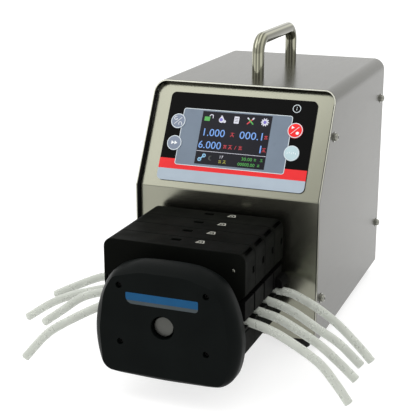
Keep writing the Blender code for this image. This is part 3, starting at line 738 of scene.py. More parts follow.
def make_handle():
    low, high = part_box("carry_handle")
    radius = (high.x - low.x) / 2
    start, end, top = low.y + radius, high.y - radius, high.z - radius
    bend = 0.014
    route = [(start, low.z - 0.0003)]
    route += arc((start + bend, top - bend), bend, 180, 90, 16)
    route += arc((end - bend, top - bend), bend, 90, 0, 16)
    route += [(end, low.z - 0.0003)]
    curve = bpy.data.curves.new("handle", "CURVE")
    curve.dimensions = "3D"
    curve.bevel_depth = radius
    curve.bevel_resolution = 12
    curve.use_fill_caps = True
    line = curve.splines.new("POLY")
    line.points.add(len(route) - 1)
    for spot, (y, z) in zip(line.points, route):
        spot.co = (0, y, z, 1)
    made = bpy.data.objects.new("handle", curve)
    bpy.context.scene.collection.objects.link(made)
    made = smoothed(welded(baked(made), flat_angle=0.01), 60)
    piece(made, "handle_bar", "handle_steel", "polished_steel", replaces=["carry_handle"])


def screw(base, axis, radius, height, name, material="screw_steel", washer=True, body=PUMP):
    """A button-head screw with a hexagon socket, on a thin washer."""
    lift = 0.0006 if washer else 0
    profile = [(0, 0)]
    if washer:
        profile += [(radius * 1.35, 0), (radius * 1.35, lift)]
    profile += [(radius, lift), (radius, lift + height * 0.35)]
    for k in range(1, 6):
        a = math.radians(18 * k)
        across, up = 0.55 + 0.45 * math.cos(a), 0.35 + 0.65 * math.sin(a)
        profile.append((radius * across, lift + height * up))
    profile.append((0, lift + height))
    head = turned(profile, base, axis, 32)
    axis = Vector(axis).normalized()
    top = Vector(base) + axis * (lift + height)
    socket = rod(top - axis * height * 0.6, top + axis * 0.001, radius * 0.45, 6)
    head = smoothed(cut(head, [socket]), 40)
    return piece(head, name, material, "polished_steel", body)


CASE_SCREWS = ((0.2425, 0.2012), (0.0442, 0.2005), (0.2480, 0.0573), (0.0140, 0.0517))


def make_case_screws():
    for side, x in (("left", -1), ("right", 1)):
        for number, (back, z) in enumerate(CASE_SCREWS, 1):
            spot = (x * SIDE, FRONT + back, z)
            screw(spot, (x, 0, 0), 0.0036, 0.0032, f"case_screw_{side}_{number}")


def make_feet():
    for end in ("front", "rear"):
        for side in ("left", "right"):
            name = f"foot_{end}_{side}"
            low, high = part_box(name)
            centre = (low + high) / 2
            r, h = (high.x - low.x) / 2, high.z
            profile = [(0, 0.0012), (0.0038, 0.0012), (0.0042, 0)]
            profile += [(r * 0.80, 0), (r * 0.87, 0.0006), (r * 0.90, 0.0018)]
            profile += [(r * 0.985, h - 0.0012), (r * 0.975, h - 0.0004), (r * 0.93, h), (0, h)]
            made = smoothed(turned(profile, (centre.x, centre.y, 0), (0, 0, 1)), 50)
            piece(made, f"{name}_rubber", "rubber_black", "rubber", replaces=[name])


# ---------------------------------------------------------------- keypad and screen

FILM_WIDTH, FILM_HEIGHT = 0.1474, 0.0888
FILM_TOP, FILM_CORNER = 0.0104, 0.005
FILM_BOTTOM = FILM_TOP + FILM_HEIGHT
RED_TOP, RED_BOTTOM = 0.0775, 0.0876
BEZEL = ((-0.0579, 0.0262), (0.0520, 0.0832))
LCD = ((-0.0379, 0.0280), (0.0322, 0.0806))
KEYS = {
    "direction": (-0.0617, 0.0400, "key_grey"),
    "prime": (-0.0617, 0.0621, "key_grey"),
    "run": (0.0562, 0.0402, "key_red"),
    "menu": (0.0562, 0.0623, "key_pale"),
}
KEY_RADIUS = 0.0075
INK = 0.00006


def panel_slab(outlines, low, high):
    """A slab on the sloping panel, its outlines in (x, -down)."""
    return slab(outlines, "slope", low, high, on_slope(0, 0))


def panel_box(left, top, right, bottom, radius=0.0):
    return rectangle((left, -bottom), (right, -top), radius)


def film_layer(outlines, name, material, level):
    """One printed layer; level counts the inks below it."""
    made = panel_slab(outlines, FILM_FACE + INK * (level - 1), FILM_FACE + INK * level)
    return piece(smoothed(made), name, material, "panel_film")


def outline_strip(left, top, right, bottom, radius, width):
    outer = panel_box(left, top, right, bottom, radius)
    inner = panel_box(left + width, top + width, right - width, bottom - width, radius - width)
    return [outer, inner]


def make_film():
    half = FILM_WIDTH / 2
    whole = panel_box(-half, FILM_TOP, half, FILM_BOTTOM, FILM_CORNER)
    film = softened(panel_slab(whole, FILM_BACK - 0.0003, FILM_FACE), 0.0002, 2)
    piece(film, "keypad_film", "film_charcoal", "panel_film", replaces=["keypad_overlay"])
    red = panel_box(-half, RED_TOP, half, RED_BOTTOM)
    film_layer(red, "film_red_stripe", "film_red", 1)
    light = tapered((0, 0), (half, -FILM_BOTTOM, FILM_CORNER), (half, -RED_BOTTOM, 0))
    film_layer(light, "film_light_stripe", "film_light", 1)
    (left, top), (right, bottom) = BEZEL
    corner = 0.0025
    film_layer(panel_box(left, top, right, bottom, corner), "film_bezel", "film_bezel", 3)
    line = outline_strip(left, top, right, bottom, corner, 0.0006)
    film_layer(line, "film_bezel_line", "film_line", 4)


def make_keys():
    low, high = FILM_FACE - 0.0012, FILM_FACE + 0.0008
    cap = [(0, low), (KEY_RADIUS, low), (KEY_RADIUS, high - 0.0004)]
    cap += [(KEY_RADIUS - 0.0002, high - 0.00012), (KEY_RADIUS - 0.0006, high)]
    cap += [(KEY_RADIUS * s, high + 0.0003 * (1 - s * s)) for s in (0.7, 0.4, 0)]
    for name, (x, down, ink) in KEYS.items():
        body = f"key_{name}"
        made = smoothed(turned(cap, on_slope(x, down), OUT_OF_SLOPE), 50)
        slot = "key_red" if name == "run" else "key_grey"
        piece(made, f"{body}_cap", ink, slot, body, [body])
        ring = [circle((x, -down), KEY_RADIUS - 0.0002), circle((x, -down), KEY_RADIUS - 0.0009)]
        rim = smoothed(panel_slab(ring, high - 0.0003, high + 0.0001))
        piece(rim, f"{body}_rim", "film_line", "panel_film", body)
        symbol = panel_symbols(name, x, down, high + 0.0001, high + 0.0005)
        piece(symbol, f"{body}_symbol", "ink_white", "panel_film", body)


def bar(x, down, length, width, angle):
    """A round-ended bar's outline in (x, -down), turned by angle in degrees."""
    turn = Matrix.Rotation(math.radians(angle), 2)
    half = length / 2
    shape = arc((half, 0), width / 2, -90, 90, 5) + arc((-half, 0), width / 2, 90, 270, 5)
    return [tuple(turn @ Vector(p) + Vector((x, -down))) for p in shape]


def ring_arrow(x, down, radius, start, sweep, width):
    """An open ring with an arrow head at its end."""
    outer = arc((x, -down), radius + width / 2, start, start + sweep, 14)
    inner = arc((x, -down), radius - width / 2, start + sweep, start, 14)
    end = math.radians(start + sweep)
    centre = Vector((x + radius * math.cos(end), -down + radius * math.sin(end)))
    out = Vector((math.cos(end), math.sin(end)))
    along = Vector((-out.y, out.x)) * (1 if sweep > 0 else -1)
    head = [centre + out * width * 1.5, centre + along * width * 2.2, centre - out * width * 1.5]
    return [outer + inner, [tuple(p) for p in head]]


def panel_symbols(name, x, down, low, high):
    """The plain white symbol on each key, as one mesh."""
    shapes = []
    if name == "direction":
        shapes.append(bar(x, down, 0.0100, 0.0004, 45))
        shapes += ring_arrow(x - 0.0026, down - 0.0026, 0.0016, 60, 250, 0.0005)
        shapes += ring_arrow(x + 0.0026, down + 0.0026, 0.0016, 240, -250, 0.0005)
    elif name == "prime":
        for left in (x - 0.0028, x + 0.0004):
            shapes.append([(left, -down - 0.0019), (left + 0.0030, -down), (left, -down + 0.0019)])
    elif name == "run":
        shapes.append(bar(x, down, 0.0100, 0.0004, 45))
        left, up = x - 0.0036, -down + 0.0026
        shapes.append([(left, up - 0.0015), (left + 0.0028, up), (left, up + 0.0015)])
        shapes.append(circle((x + 0.0026, -down - 0.0026), 0.0015, 24))
    else:
        for k in range(5):
            shapes.append(bar(x - 0.0040 + 0.0020 * k, down + 0.0003 * (-1) ** k, 0.0011, 0.0005, 90))
    return joined([panel_slab(shape, low, high) for shape in shapes])


def lcd_point(u, v):
    """A point on the screen, u across and v down, both from 0 to 1, in (x, -down)."""
    (left, top), (right, bottom) = LCD
    return left + u * (right - left), -(top + v * (bottom - top))


LCD_FACE = FILM_FACE + 4 * INK
LCD_WIDTH, LCD_HEIGHT = LCD[1][0] - LCD[0][0], LCD[1][1] - LCD[0][1]


def lcd_layer(shapes, name, material, level=1):
    low = LCD_FACE + INK * level
    made = joined([panel_slab(shape, low, low + INK) for shape in shapes])
    return piece(made, name, material, "screen_glass")


def digits(text, u, v, height, width):
    """Digits drawn with Blender's own font, left end and base line at (u, v)."""
    curve = bpy.data.curves.new("digits", "FONT")
    curve.body = text
    curve.resolution_u = 3
    curve.fill_mode = "BOTH"
    made = bpy.data.objects.new("digits", curve)
    bpy.context.scene.collection.objects.link(made)
    bpy.context.view_layer.update()
    size = made.dimensions
    curve.extrude = INK / 2
    digit_height = 0.73
    scale = (width * LCD_WIDTH / size.x, height * LCD_HEIGHT / digit_height, 1, 1)
    panel = Matrix.Translation(on_slope(0, 0)) @ TURNS["slope"]
    spot = Matrix.Translation((*lcd_point(u, v), LCD_FACE + INK * 1.5))
    made.matrix_world = panel @ spot @ Matrix.Diagonal(scale)
    return welded(baked(made), flat_angle=0.05)


STROKES = ((0, 0.35, 0.7, 0), (0, 0.0, 0.8, 90), (-0.25, -0.25, 0.5, 60), (0.25, -0.25, 0.5, -60))
CROSSED = ((0, 0.25, 0.7, 0), (-0.15, 0.0, 0.8, 75), (0.2, -0.1, 0.6, -65), (0, -0.3, 0.6, 0))


def unit_marks(size, *marks):
    """Small plain marks standing for units; each is (u, v, its strokes)."""
    found = []
    for u, v, strokes in marks:
        x, y = lcd_point(u, v)
        for sx, sy, length, angle in strokes:
            found.append(bar(x + sx * size, -(y + sy * size), length * size, 0.10 * size, angle))
    return found


def make_screen():
    (left, top), (right, bottom) = LCD
    made = panel_slab(panel_box(left, top, right, bottom, 0.0004), FILM_BACK - 0.003, LCD_FACE)
    piece(smoothed(made), "lcd_glass", "lcd_glass", "screen_glass", replaces=["display_module"])

    numerals = [
        digits("1.000", 0.030, 0.465, 0.145, 0.305),
        digits("000.1", 0.575, 0.465, 0.145, 0.325),
        digits("6.000", 0.010, 0.700, 0.145, 0.325),
        digits("1", 0.862, 0.700, 0.145, 0.017),
    ]
    piece(joined(numerals), "lcd_numerals", "lcd_blue", "screen_glass")

    row = 0.64
    marks = unit_marks(
        0.0044, (0.475, 0.405, STROKES), (0.955, 0.405, CROSSED), (0.40, row, CROSSED),
        (0.475, row, STROKES), (0.62, row, CROSSED), (0.955, row, STROKES),
    )
    x, y = lcd_point(0.55, row)
    marks.append(bar(x, -y, 0.0036, 0.0004, 70))
    lcd_layer(marks, "lcd_unit_marks", "lcd_red")

    x, y = lcd_point(0.5, 0.755)
    lcd_layer([bar(x, -y, LCD_WIDTH * 0.99, 0.0004, 0)], "lcd_divider", "lcd_white")
    make_screen_icons()

    readings = [digits("30.00", 0.66, 0.865, 0.060, 0.15), digits("00000.00", 0.62, 0.965, 0.060, 0.24)]
    piece(joined(readings), "lcd_readings", "lcd_green", "screen_glass")
    marks = unit_marks(0.0030, (0.855, 0.835, CROSSED), (0.945, 0.835, STROKES), (0.915, 0.935, CROSSED))
    lcd_layer(marks, "lcd_reading_marks", "lcd_green")
    small = joined([digits("17", 0.345, 0.865, 0.055, 0.045)])
    piece(small, "lcd_small_digits", "lcd_white", "screen_glass")
    marks = unit_marks(0.0036, (0.365, 0.925, CROSSED), (0.43, 0.925, STROKES))
    lcd_layer(marks, "lcd_status_marks", "lcd_yellow")


def make_screen_icons():
    """Padlock, drop, page, crossed tools and gear, and the two marks below them."""
    row = 0.125
    x, y = lcd_point(0.085, row)
    lock = rectangle((x - 0.0034, y - 0.0030), (x + 0.0022, y + 0.0012), 0.0004)
    lcd_layer([lock], "icon_lock_body", "lcd_green")
    middle = (x + 0.0034, y + 0.0018)
    shackle = arc(middle, 0.0021, 0, 180, 10) + arc(middle, 0.0013, 180, 0, 10)
    foot = bar(x + 0.0051, -(y + 0.0009), 0.0012, 0.0008, 90)
    lcd_layer([shackle, foot], "icon_lock_shackle", "lcd_white")

    x, y = lcd_point(0.285, row)
    drop = arc((x, y - 0.0012), 0.0027, -200, 20, 16) + [(x - 0.0002, y + 0.0038)]
    lcd_layer([drop, circle((x + 0.0032, y - 0.0024), 0.0014, 20)], "icon_drop", "lcd_white")
    lcd_layer([circle((x - 0.0004, y - 0.0008), 0.0016, 20)], "icon_drop_core", "lcd_violet", 2)

    x, y = lcd_point(0.50, row)
    page = rectangle((x - 0.0025, y - 0.0035), (x + 0.0025, y + 0.0035), 0.0006)
    lcd_layer([page], "icon_page", "lcd_white")
    lines = [bar(x, -(y + 0.0016 - 0.0016 * k), 0.0028, 0.0004, 0) for k in range(3)]
    lcd_layer(lines, "icon_page_lines", "lcd_dark", 2)

    x, y = lcd_point(0.70, row)
    lcd_layer([bar(x, -y, 0.0078, 0.0012, 45)], "icon_tool_red", "lcd_red")
    lcd_layer([bar(x, -y, 0.0078, 0.0012, -45)], "icon_tool_green", "lcd_green", 2)
    tips = [bar(x + 0.0025, -(y + 0.0025), 0.0012, 0.0014, 45)]
    tips.append(bar(x - 0.0024, -(y + 0.0024), 0.0010, 0.0014, -45))
    lcd_layer(tips, "icon_tool_tips", "lcd_white", 3)

    x, y = lcd_point(0.905, row)
    gear = [[circle((x, y), 0.0030, 32), circle((x, y), 0.0016, 24)]]
    for angle in range(0, 360, 36):
        a = math.radians(angle)
        gear.append(bar(x + 0.0030 * math.cos(a), -(y + 0.0030 * math.sin(a)), 0.0010, 0.0011, angle))
    lcd_layer(gear, "icon_gear", "lcd_white")
    lcd_layer([circle((x, y), 0.0015, 24)], "icon_gear_core", "lcd_violet")

    x, y = lcd_point(0.095, 0.875)
    ends = [(x + shift, y + shift) for shift in (-0.0020, 0.0020)]
    links = [[circle(end, 0.0019, 24), circle(end, 0.0009, 20)] for end in ends]
    lcd_layer(links + [bar(x, -y, 0.0040, 0.0012, 45)], "icon_link", "lcd_cyan")
    x, y = lcd_point(0.225, 0.875)
    moon = arc((x, y), 0.0024, 60, 300, 16) + arc((x + 0.0012, y), 0.0021, 285, 75, 16)
    lcd_layer([moon], "icon_moon", "lcd_dark")


def make_status_ring():
    x, down = 0.0542, 0.0188
    film_layer([circle((x, -down), 0.0040), circle((x, -down), 0.0034)], "status_ring", "film_line", 1)
    shapes = [bar(x, down + 0.0006, 0.0014, 0.0005, 90), circle((x, -down + 0.0014), 0.0004, 12)]
    made = joined([panel_slab(shape, FILM_FACE, FILM_FACE + INK) for shape in shapes])
    piece(made, "status_ring_mark", "film_line", "panel_film")


# ---------------------------------------------------------------- pump heads


def make_adapter():
    low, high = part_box("adapter_plate")
    r = (high.x - low.x) / 2
    depth = high.y - low.y
    profile = [(0.007, 0), (r, 0), (r, depth - 0.001), (r - 0.001, depth), (0.007, depth)]
    made = turned(profile, (0, high.y, SHAFT.z), (0, -1, 0), 96)
    piece(smoothed(made), "adapter_ring", "part_black", "head_plastic", replaces=["adapter_plate"])


def make_head_body(number):
    front, back = head_span(number)
    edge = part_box(f"head_{number}_body")[1].x
    middle = (front + back) / 2
    waist, foot = 0.0535, 0.039
    belly = arc((0, SHAFT.z), 0.050, 221.3, 318.7, 28)
    corners = [(0.0376, foot, 0), (edge, foot, 0.004), (edge, 0.0615, 0.0012), (waist, 0.0625, 0)]
    right = rounded(corners, 6)[1:]
    left = [(-x, z) for x, z in reversed(right)]
    outline = belly + right + [(waist, SPLIT_HEIGHT), (-waist, SPLIT_HEIGHT)] + left
    body = slab(outline, "front", -back, -front)
    tools = [
        axle(0, SHAFT.z, front + HEAD_WALL, back - HEAD_WALL, TRACK_RADIUS, 96),
        axle(0, SHAFT.z, front - 0.01, back + 0.01, 0.0070),
    ]
    for sign in (-1, 1):
        near, far = sorted((sign * 0.030, sign * 0.070))
        tools.append(box((near, middle - 0.0047, 0.0627), (far, middle + 0.0047, 0.1)))
    body = softened(cut(body, tools), 0.0007, 2)

    lugs = []
    arm = [(HINGE[0], 0.0855), (-0.0530, 0.0855), (-0.0530, 0.0899), (-0.0560, 0.0899)]
    eye = arc(HINGE, 0.0045, 40, 270, 24)
    for start, end in ((back - 0.005, back), (front, front + 0.005)):
        lug = slab(arm + eye, "front", -end, -start)
        lug = cut(lug, [axle(*HINGE, start - 0.01, end + 0.01, HINGE_HOLE, 32)])
        lugs.append(softened(lug, 0.0003, 2))
    made = joined([body] + lugs)
    piece(made, f"head_body_{number}", "head_black", "head_plastic", replaces=[f"head_{number}_body"])


def make_hood(number):
    front, back = head_span(number)
    low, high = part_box(f"head_{number}_hood")
    middle = (front + back) / 2
    left, right, top = low.x, high.x, high.z
    underside = SPLIT_HEIGHT + 0.0003
    meets = math.degrees(math.asin((underside - HINGE[1]) / KNUCKLE_RADIUS))
    lowest = HINGE[1] - KNUCKLE_RADIUS
    corners = [(right - 0.005, underside, 0), (right, 0.0945, 0.0012), (right, top, 0.008)]
    corners += [(left, top, 0.008), (left, lowest, 0.0015), (HINGE[0], lowest, 0)]
    outline = arc(HINGE, KNUCKLE_RADIUS, -90, meets, 12) + rounded(corners, 10)[:-1]
    hood = slab(outline, "front", -back, -front)
    tools = [
        axle(0, SHAFT.z, front + HEAD_WALL, back - HEAD_WALL, TRACK_RADIUS, 96),
        axle(*HINGE, front - 0.01, back + 0.01, HINGE_HOLE, 32),
    ]
    for start, end in ((back - 0.0054, back + 0.01), (front - 0.01, front + 0.0054)):
        tools.append(box((left + 0.0025, start, 0.080), (-0.0505, end, 0.0972)))
    notch = rectangle((-0.0145, middle + 0.0020), (-0.0055, middle + 0.0072), 0.0015)
    tools.append(slab(notch, "top", top - 0.003, top + 0.01))
    tools.append(corner_slot(right, top, middle))
    side = rectangle((middle + 0.0060, 0.1085), (middle + 0.0108, 0.1145), 0.0010)
    tools.append(slab(side, "side", right - 0.0025, right + 0.01))
    hood = softened(cut(hood, tools), 0.0009)
    body, node = f"hood_{number}", f"head_{number}_hood"
    piece(hood, f"hood_shell_{number}", "head_black", "head_plastic", body, [node])
    hood_mark(number, middle, top)


def corner_slot(right, top, middle):
    """A cutter for the slot along the rounded top right corner."""
    tool = box((-0.0014, -0.0090, -0.0030), (0.0014, 0.0090, 0.0100))
    place = Vector((right - 0.0038, middle + 0.0024, top - 0.0030))
    tool.data.transform(Matrix.Translation(place) @ Matrix.Rotation(math.radians(42), 4, "Y"))
    return tool


def hood_mark(number, middle, top):
    """The small silver mark moulded into each hood's top."""
    spot = (0.0125, middle + 0.0053)
    outer = tapered(spot, (0.0042, -0.0032, 0.0004), (0.0024, 0.0034, 0.001), 4)
    inner = tapered(spot, (0.0028, -0.0020, 0.0003), (0.0015, 0.0022, 0.0008), 4)
    dot = circle(spot, 0.0009, 20)
    made = joined([slab(shape, "top", top - 0.0004, top + 0.0001) for shape in ([outer, inner], dot)])
    piece(made, f"hood_mark_{number}", "mark_silver", "head_plastic", f"hood_{number}")


def make_rotor(number):
    low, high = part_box(f"head_{number}_rotor")
    r = (high.x - low.x) / 2
    depth = high.y - low.y
    cheek, bore, hub, soft = 0.0024, 0.0063, 0.0095, 0.0004
    profile = [
        (bore, 0), (r - soft, 0), (r, soft), (r, cheek - soft), (r - soft, cheek), (hub, cheek),
        (hub, depth - cheek), (r - soft, depth - cheek), (r, depth - cheek + soft), (r, depth - soft),
        (r - soft, depth), (bore, depth),
    ]
    spool = smoothed(turned(profile, (0, high.y, SHAFT.z), (0, -1, 0), 96))
    pins = []
    for i in (1, 2, 3):
        near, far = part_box(f"head_{number}_roller_{i}")
        centre = (near + far) / 2
        pins.append(axle(centre.x, centre.z, low.y - CLEAR, high.y + CLEAR, 0.0025, 32))
        radius, length = (far.x - near.x) / 2, far.y - near.y
        gap, edge = 0.0028, 0.0006
        shape = [(gap, 0), (radius - edge, 0), (radius, edge)]
        shape += [(radius, length - edge), (radius - edge, length), (gap, length)]
        roller = smoothed(turned(shape, (centre.x, far.y, centre.z), (0, -1, 0), 64))
        name = f"roller_{number}_{i}"
        piece(roller, f"{name}_sleeve", "roller_nylon", "roller_nylon", name, [f"head_{number}_roller_{i}"])
    name, node = f"rotor_spool_{number}", f"head_{number}_rotor"
    piece(joined([spool] + pins), name, "spool_steel", "polished_steel", "drive", [node])


CLAMP_INNER, CLAMP_OUTER, CLAMP_INSET = 0.0538, 0.0592, 0.0012
CLAMP_TOPS = {"left": 0.0772, "right": 0.0888}
BRACKET = ((0.0590, 0.0716), (0.0655, 0.0716), (0.0655, 0.0775), (0.0630, 0.0805), (0.0590, 0.0812))


def make_tube_clamps(number):
    """Jaws beside the body that hold the tubing where it comes out."""
    front, back = head_span(number)
    middle = (front + back) / 2
    for name, sign in (("left", -1), ("right", 1)):
        near, far = sign * CLAMP_INNER, sign * CLAMP_OUTER
        top = CLAMP_TOPS[name]
        upper = [(near, 0.0712), (far, 0.0712), (far, top), (near, top)]
        lower = rectangle(*sorted([(near, 0.0622), (far, 0.0652)]), 0)
        ends = [(sign * x, middle, TUBE_HEIGHT) for x in (0.05, 0.07)]
        groove = rod(*ends, TUBE_RADIUS + 0.0003, 32)
        depths = (-back + CLAMP_INSET, -front - CLAMP_INSET)
        jaws = [slab(outline, "front", *depths) for outline in (upper, lower)]
        jaws = [softened(cut(jaws[1], [groove]), 0.0004, 2), softened(jaws[0], 0.0006, 2)]
        if number == 4 and sign > 0:
            bracket = slab(list(BRACKET), "front", depths[0], -front - 0.0060)
            jaws.append(softened(bracket, 0.0006, 2))
        piece(joined(jaws), f"tube_clamp_{number}_{name}", "part_black", "head_plastic")


# ---------------------------------------------------------------- front plate

PLATE_OUTER = (
    (0.0300, 0.0224), (0.0440, 0.0226), (0.0530, 0.0248), (0.0603, 0.0315), (0.0645, 0.0430),
    (0.0664, 0.0570), (0.0657, 0.0720), (0.0625, 0.0870), (0.0562, 0.1030), (0.0485, 0.1140),
    (0.0365, 0.1208), (0.0190, 0.1246),
)
PLATE_FLAT = (
    (0.0555, 0.0268, 0.010), (0.0580, 0.064, 0.060), (0.0535, 0.098, 0.040),
    (0.0450, 0.1120, 0.006), (0.0210, 0.1188, 0.060),
)
PLATE_BORE, PLATE_POCKET, PLATE_NECK = 0.0070, 0.0104, 0.046
PLATE_SCREWS = ((0.039, 0.1055), (0.039, 0.0545))


def polar(outline, angle):
    """Where a ray from the shaft at angle meets the outline."""
    ray = Vector((math.cos(angle), math.sin(angle)))
    centre = Vector((SHAFT.x, SHAFT.z))
    best = 0
    for a, b in zip(outline, outline[1:] + outline[:1]):
        start, side = Vector(a) - centre, Vector(b) - Vector(a)
        bottom = ray.cross(side)
        if abs(bottom) < 1e-12:
            continue
        far, share = start.cross(side) / bottom, start.cross(ray) / bottom
        if far > 0 and -1e-6 <= share <= 1 + 1e-6:
            best = max(best, far)
    return centre + ray * best


def mirrored(half):
    return list(half) + [(-corner[0], *corner[1:]) for corner in reversed(half)]


def make_front_plate():
    low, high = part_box("front_plate")
    face, neck_back = low.y, high.y
    route = smooth_route([Vector(spot) for spot in mirrored(PLATE_OUTER)], 6)
    outer = [tuple(spot) for spot in route]
    flat = rounded(mirrored(PLATE_FLAT), 16)
    count, thickness, soft = 240, 0.022, 0.0012
    angles = [2 * math.pi * k / count for k in range(count)]
    edges = [(polar(flat, a), polar(outer, a), Vector((math.cos(a), math.sin(a)))) for a in angles]
    shape = bmesh.new()

    def ring(place):
        found = []
        for angle, (inner, rim, ray) in zip(angles, edges):
            (x, z), depth = place(angle, inner, rim, ray)
            found.append(shape.verts.new((x, face + depth, z)))
        return found

    def edge_depth(angle):
        rise = math.sin(angle)
        return 0.014 + (0.0068 * rise**2 if rise > 0 else -0.0078 * rise**2)

    centre = Vector((SHAFT.x, SHAFT.z))

    def round_ring(radius, depth):
        return ring(lambda a, i, r, n: (centre + n * radius, depth))

    neck = neck_back - face
    rings = [round_ring(PLATE_BORE, neck), round_ring(PLATE_BORE, 0.010)]
    rings += [round_ring(PLATE_POCKET, 0.010), round_ring(PLATE_POCKET, 0.0004)]
    rings.append(round_ring(PLATE_POCKET + 0.0004, 0))
    crease = math.radians(57)
    for k in range(11):
        phi = crease + (math.pi / 2 - crease) * k / 10
        across = (math.sin(phi) - math.sin(crease)) / (1 - math.sin(crease))
        deep = (math.cos(crease) - math.cos(phi)) / math.cos(crease)
        rings.append(ring(lambda a, i, r, n: (i + (r - i) * across, edge_depth(a) * deep)))
    rings.append(ring(lambda a, i, r, n: (r, thickness - soft)))
    rings.append(ring(lambda a, i, r, n: (r - n * soft * 0.3, thickness - soft * 0.3)))
    rings.append(ring(lambda a, i, r, n: (r - n * soft, thickness)))
    rings += [round_ring(PLATE_NECK, thickness), round_ring(PLATE_NECK, neck)]
    join_rings(shape, rings, True)
    plate = raw("plate", shape)
    tools = []
    spots = [(sign * x, z) for x, z in PLATE_SCREWS for sign in (-1, 1)]
    for x, z in spots:
        tools.append(axle(x, z, face - 0.01, face + 0.0048, 0.0029, 32))
    plate = softened(cut(plate, tools), 0.0005, 2, 25)
    piece(plate, "front_cover", "plate_black", "head_plastic", replaces=["front_plate"])
    for number, (x, z) in enumerate(spots, 1):
        spot, name = (x, face + 0.0047, z), f"plate_screw_{number}"
        screw(spot, (0, -1, 0), 0.0026, 0.0022, name, "socket_black", False)
    make_label(face)


def make_label(face):
    """The plain two-tone band across the front plate."""
    left, right, bottom, split, top = -0.0328, 0.0322, 0.0902, 0.0934, 0.1002
    corners = [(left, bottom, 0.0062), (right, bottom, 0.0030)]
    corners += [(right, top, 0.0012), (left, top, 0.0008)]
    outline = rounded(corners)
    room = 0.01
    bands = {
        "upper": ("label_blue", split, top + room),
        "lower": ("label_silver", bottom - room, split),
    }
    for name, (ink, low, high) in bands.items():
        band = slab(outline, "front", -face - 0.0001, -face + 0.0002)
        bounds = box((left - room, face - room, low), (right + room, face + room, high))
        band = softened(cut(band, [bounds], "INTERSECT"), 0.00008, 1)
        piece(band, f"label_{name}", ink, "head_plastic")


def make_shaft():
    low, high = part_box("drive_shaft")
    cap, radius, face = 0.0089, 0.006, low.y + 0.0012
    length, shoulder, soft = high.y - face, 0.0048, 0.0007
    profile = [(0, 0), (cap - soft, 0), (cap - soft * 0.3, soft * 0.3), (cap, soft)]
    profile += [(cap, shoulder), (radius, shoulder), (radius, length), (0, length)]
    made = turned(profile, (0, face, SHAFT.z), (0, 1, 0), 96)
    piece(smoothed(made, 50), "shaft_bar", "shaft_steel", "polished_steel", "drive", ["drive_shaft"])


# ---------------------------------------------------------------- rear and hidden parts


def make_rear():
    low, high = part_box("rear_panel")
    inlet_low, inlet_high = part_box("power_inlet")
    port_low, port_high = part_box("signal_port")
    centre = (inlet_low + inlet_high) / 2
    port = (port_low + port_high) / 2
    corners = [(low.x, low.z, 0), (high.x, low.z, 0)]
    corners += [(high.x, high.z, 0.0099), (low.x, high.z, 0.0099)]
    outline = rounded(corners, 12)
    holes = [
        rectangle((centre.x - 0.014, centre.z - 0.026), (centre.x + 0.014, centre.z + 0.026), 0.001),
        rectangle((port.x - 0.015, port.z - 0.0055), (port.x + 0.015, port.z + 0.0055), 0.001),
    ]
    for i in range(7):
        x = -0.030 + 0.010 * i
        holes.append(rectangle((x - 0.0016, 0.149), (x + 0.0016, 0.195), 0.0015))
    panel = slab([outline] + holes, "front", -high.y, -low.y)
    piece(softened(panel, 0.0003, 2), "rear_sheet", "panel_steel", "stainless", replaces=["rear_panel"])
    spots = [(x, z) for z in (0.022, 0.225) for x in (-0.080, 0.080)]
    for number, (x, z) in enumerate(spots, 1):
        screw((x, high.y, z), (0, 1, 0), 0.0024, 0.0016, f"rear_screw_{number}", washer=False)
    make_inlet(inlet_low, inlet_high, centre)
    make_port(port_low, port_high, port)


def make_inlet(low, high, centre):
    x, z = centre.x, centre.z
    flange = slab(rectangle((low.x, low.z), (high.x, high.z), 0.003), "front", -high.y, -high.y + 0.002)
    housing = box((x - 0.0135, low.y, z - 0.0255), (x + 0.0135, high.y - 0.001, z + 0.0255))
    half = ((0.011, -0.020), (0.011, -0.007), (0.007, -0.003))
    corners = [(x - half[0][0], z + half[0][1], 0.001)]
    corners += [(x + across, z + up, 0.001) for across, up in half]
    corners += [(x - across, z + up, 0.001) for across, up in half[:0:-1]]
    tools = [
        slab(rounded(corners, 4), "front", -high.y - 0.01, -high.y + 0.016),
        box((x - 0.0106, high.y - 0.0065, z + 0.0032), (x + 0.0106, high.y + 0.01, z + 0.0208)),
    ]
    body = softened(cut(cut(housing, [flange], "UNION"), tools), 0.0005, 2)
    piece(body, "inlet_housing", "socket_black", "head_plastic", replaces=["power_inlet"])
    pins = []
    for dx, dz in ((-0.0065, -0.0135), (0, -0.0105), (0.0065, -0.0135)):
        start = (x + dx - 0.0010, high.y - 0.0160, z + dz - 0.0020)
        end = (x + dx + 0.0010, high.y - 0.0030, z + dz + 0.0020)
        pins.append(box(start, end))
    piece(softened(joined(pins), 0.0004, 2), "inlet_pins", "brass_pin", "polished_steel")

    near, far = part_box("power_rocker")
    middle = (near + far) / 2
    tilt = math.radians(7)
    place = Matrix.Translation(middle) @ Matrix.Rotation(-tilt, 4, "X")
    profile = [(-0.0079, 0.0026), (-0.0040, 0.0024), (0, 0.0014), (0.0040, 0.0024)]
    profile += [(0.0079, 0.0026), (0.0079, -0.0026), (-0.0079, -0.0026)]
    outline = [(y, up) for up, y in rounded([(-up, y, 0.0004) for up, y in profile], 3)]
    rocker = slab(outline, "side", -0.0098, 0.0098)
    rocker.data.transform(place)
    piece(softened(rocker, 0.0003, 2), "rocker_cap", "part_black", "head_plastic", "rocker", ["power_rocker"])
    ring = [circle((0, -0.0045), radius, 24) for radius in (0.0017, 0.0012)]
    line = rectangle((-0.0003, 0.0030), (0.0003, 0.0062), 0.0002)
    made = joined([slab(shape, "front", -0.0030, -0.0024) for shape in (ring, line)])
    made.data.transform(place)
    piece(made, "rocker_marks", "ink_white", "head_plastic", "rocker")


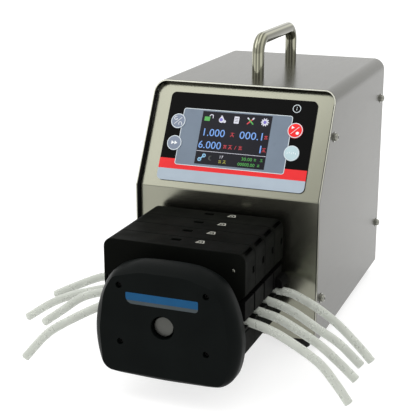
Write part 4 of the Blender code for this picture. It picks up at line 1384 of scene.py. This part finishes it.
def make_port(low, high, centre):
    x, z = centre.x, centre.z
    outer = tapered((x, z), (0.0125, -0.0048, 0.0015), (0.0138, 0.0048, 0.0015), 5)
    inner = tapered((x, z), (0.0117, -0.0040, 0.0012), (0.0130, 0.0040, 0.0012), 5)
    wing = rectangle((x - 0.0195, z - 0.0061), (x + 0.0195, z + 0.0061), 0.0015)
    shell = slab([outer, inner], "front", -high.y, -low.y - 0.001)
    ears = slab([wing, inner], "front", -high.y + 0.0055, -high.y + 0.0065)
    made = joined([softened(part, 0.0002, 1) for part in (shell, ears)])
    piece(made, "port_shell", "spool_steel", "polished_steel", replaces=["signal_port"])
    insert = slab(inner, "front", -high.y + 0.0012, -low.y - 0.002)
    piece(smoothed(insert), "port_insert", "socket_black", "head_plastic")
    pins = []
    for row, count in ((0.0014, 8), (-0.0014, 7)):
        for k in range(count):
            px = x + 0.00277 * (k - (count - 1) / 2)
            pins.append(axle(px, z + row, high.y - 0.006, high.y - 0.0008, 0.0005, 10))
    piece(joined(pins), "port_pins", "brass_pin", "polished_steel")
    for number, sign in enumerate((-1, 1), 1):
        stud = axle(x + sign * 0.0167, z, high.y - 0.0060, high.y - 0.0005, 0.0024, 6)
        piece(softened(stud, 0.0003, 2), f"port_stud_{number}", "screw_steel", "polished_steel")


def dress_hidden_nodes():
    """CAD nodes that keep their own shape get a finished material."""
    looks = {
        "base_plate": "case_steel",
        "hinge_rod": "spool_steel",
        "drive_motor": "motor_black",
        "control_board": "board_green",
    }
    looks.update({f"head_{n}_tube": "silicone" for n in HEADS})
    for node, look in looks.items():
        NODES[node].data.materials.clear()
        NODES[node].data.materials.append(MATERIALS[look])


# ---------------------------------------------------------------- build

make_cover()
make_front_panel()
make_handle()
make_case_screws()
make_feet()
make_film()
make_keys()
make_screen()
make_status_ring()
make_adapter()
for head in HEADS:
    make_head_body(head)
    make_hood(head)
    make_rotor(head)
    make_tube_clamps(head)
make_front_plate()
make_shaft()
spot = (0.0491, head_span(1)[0], 0.1163)
screw(spot, (0, -1, 0), 0.0014, 0.0007, "hood_front_screw", washer=False, body="hood_1")
make_rear()
dress_hidden_nodes()
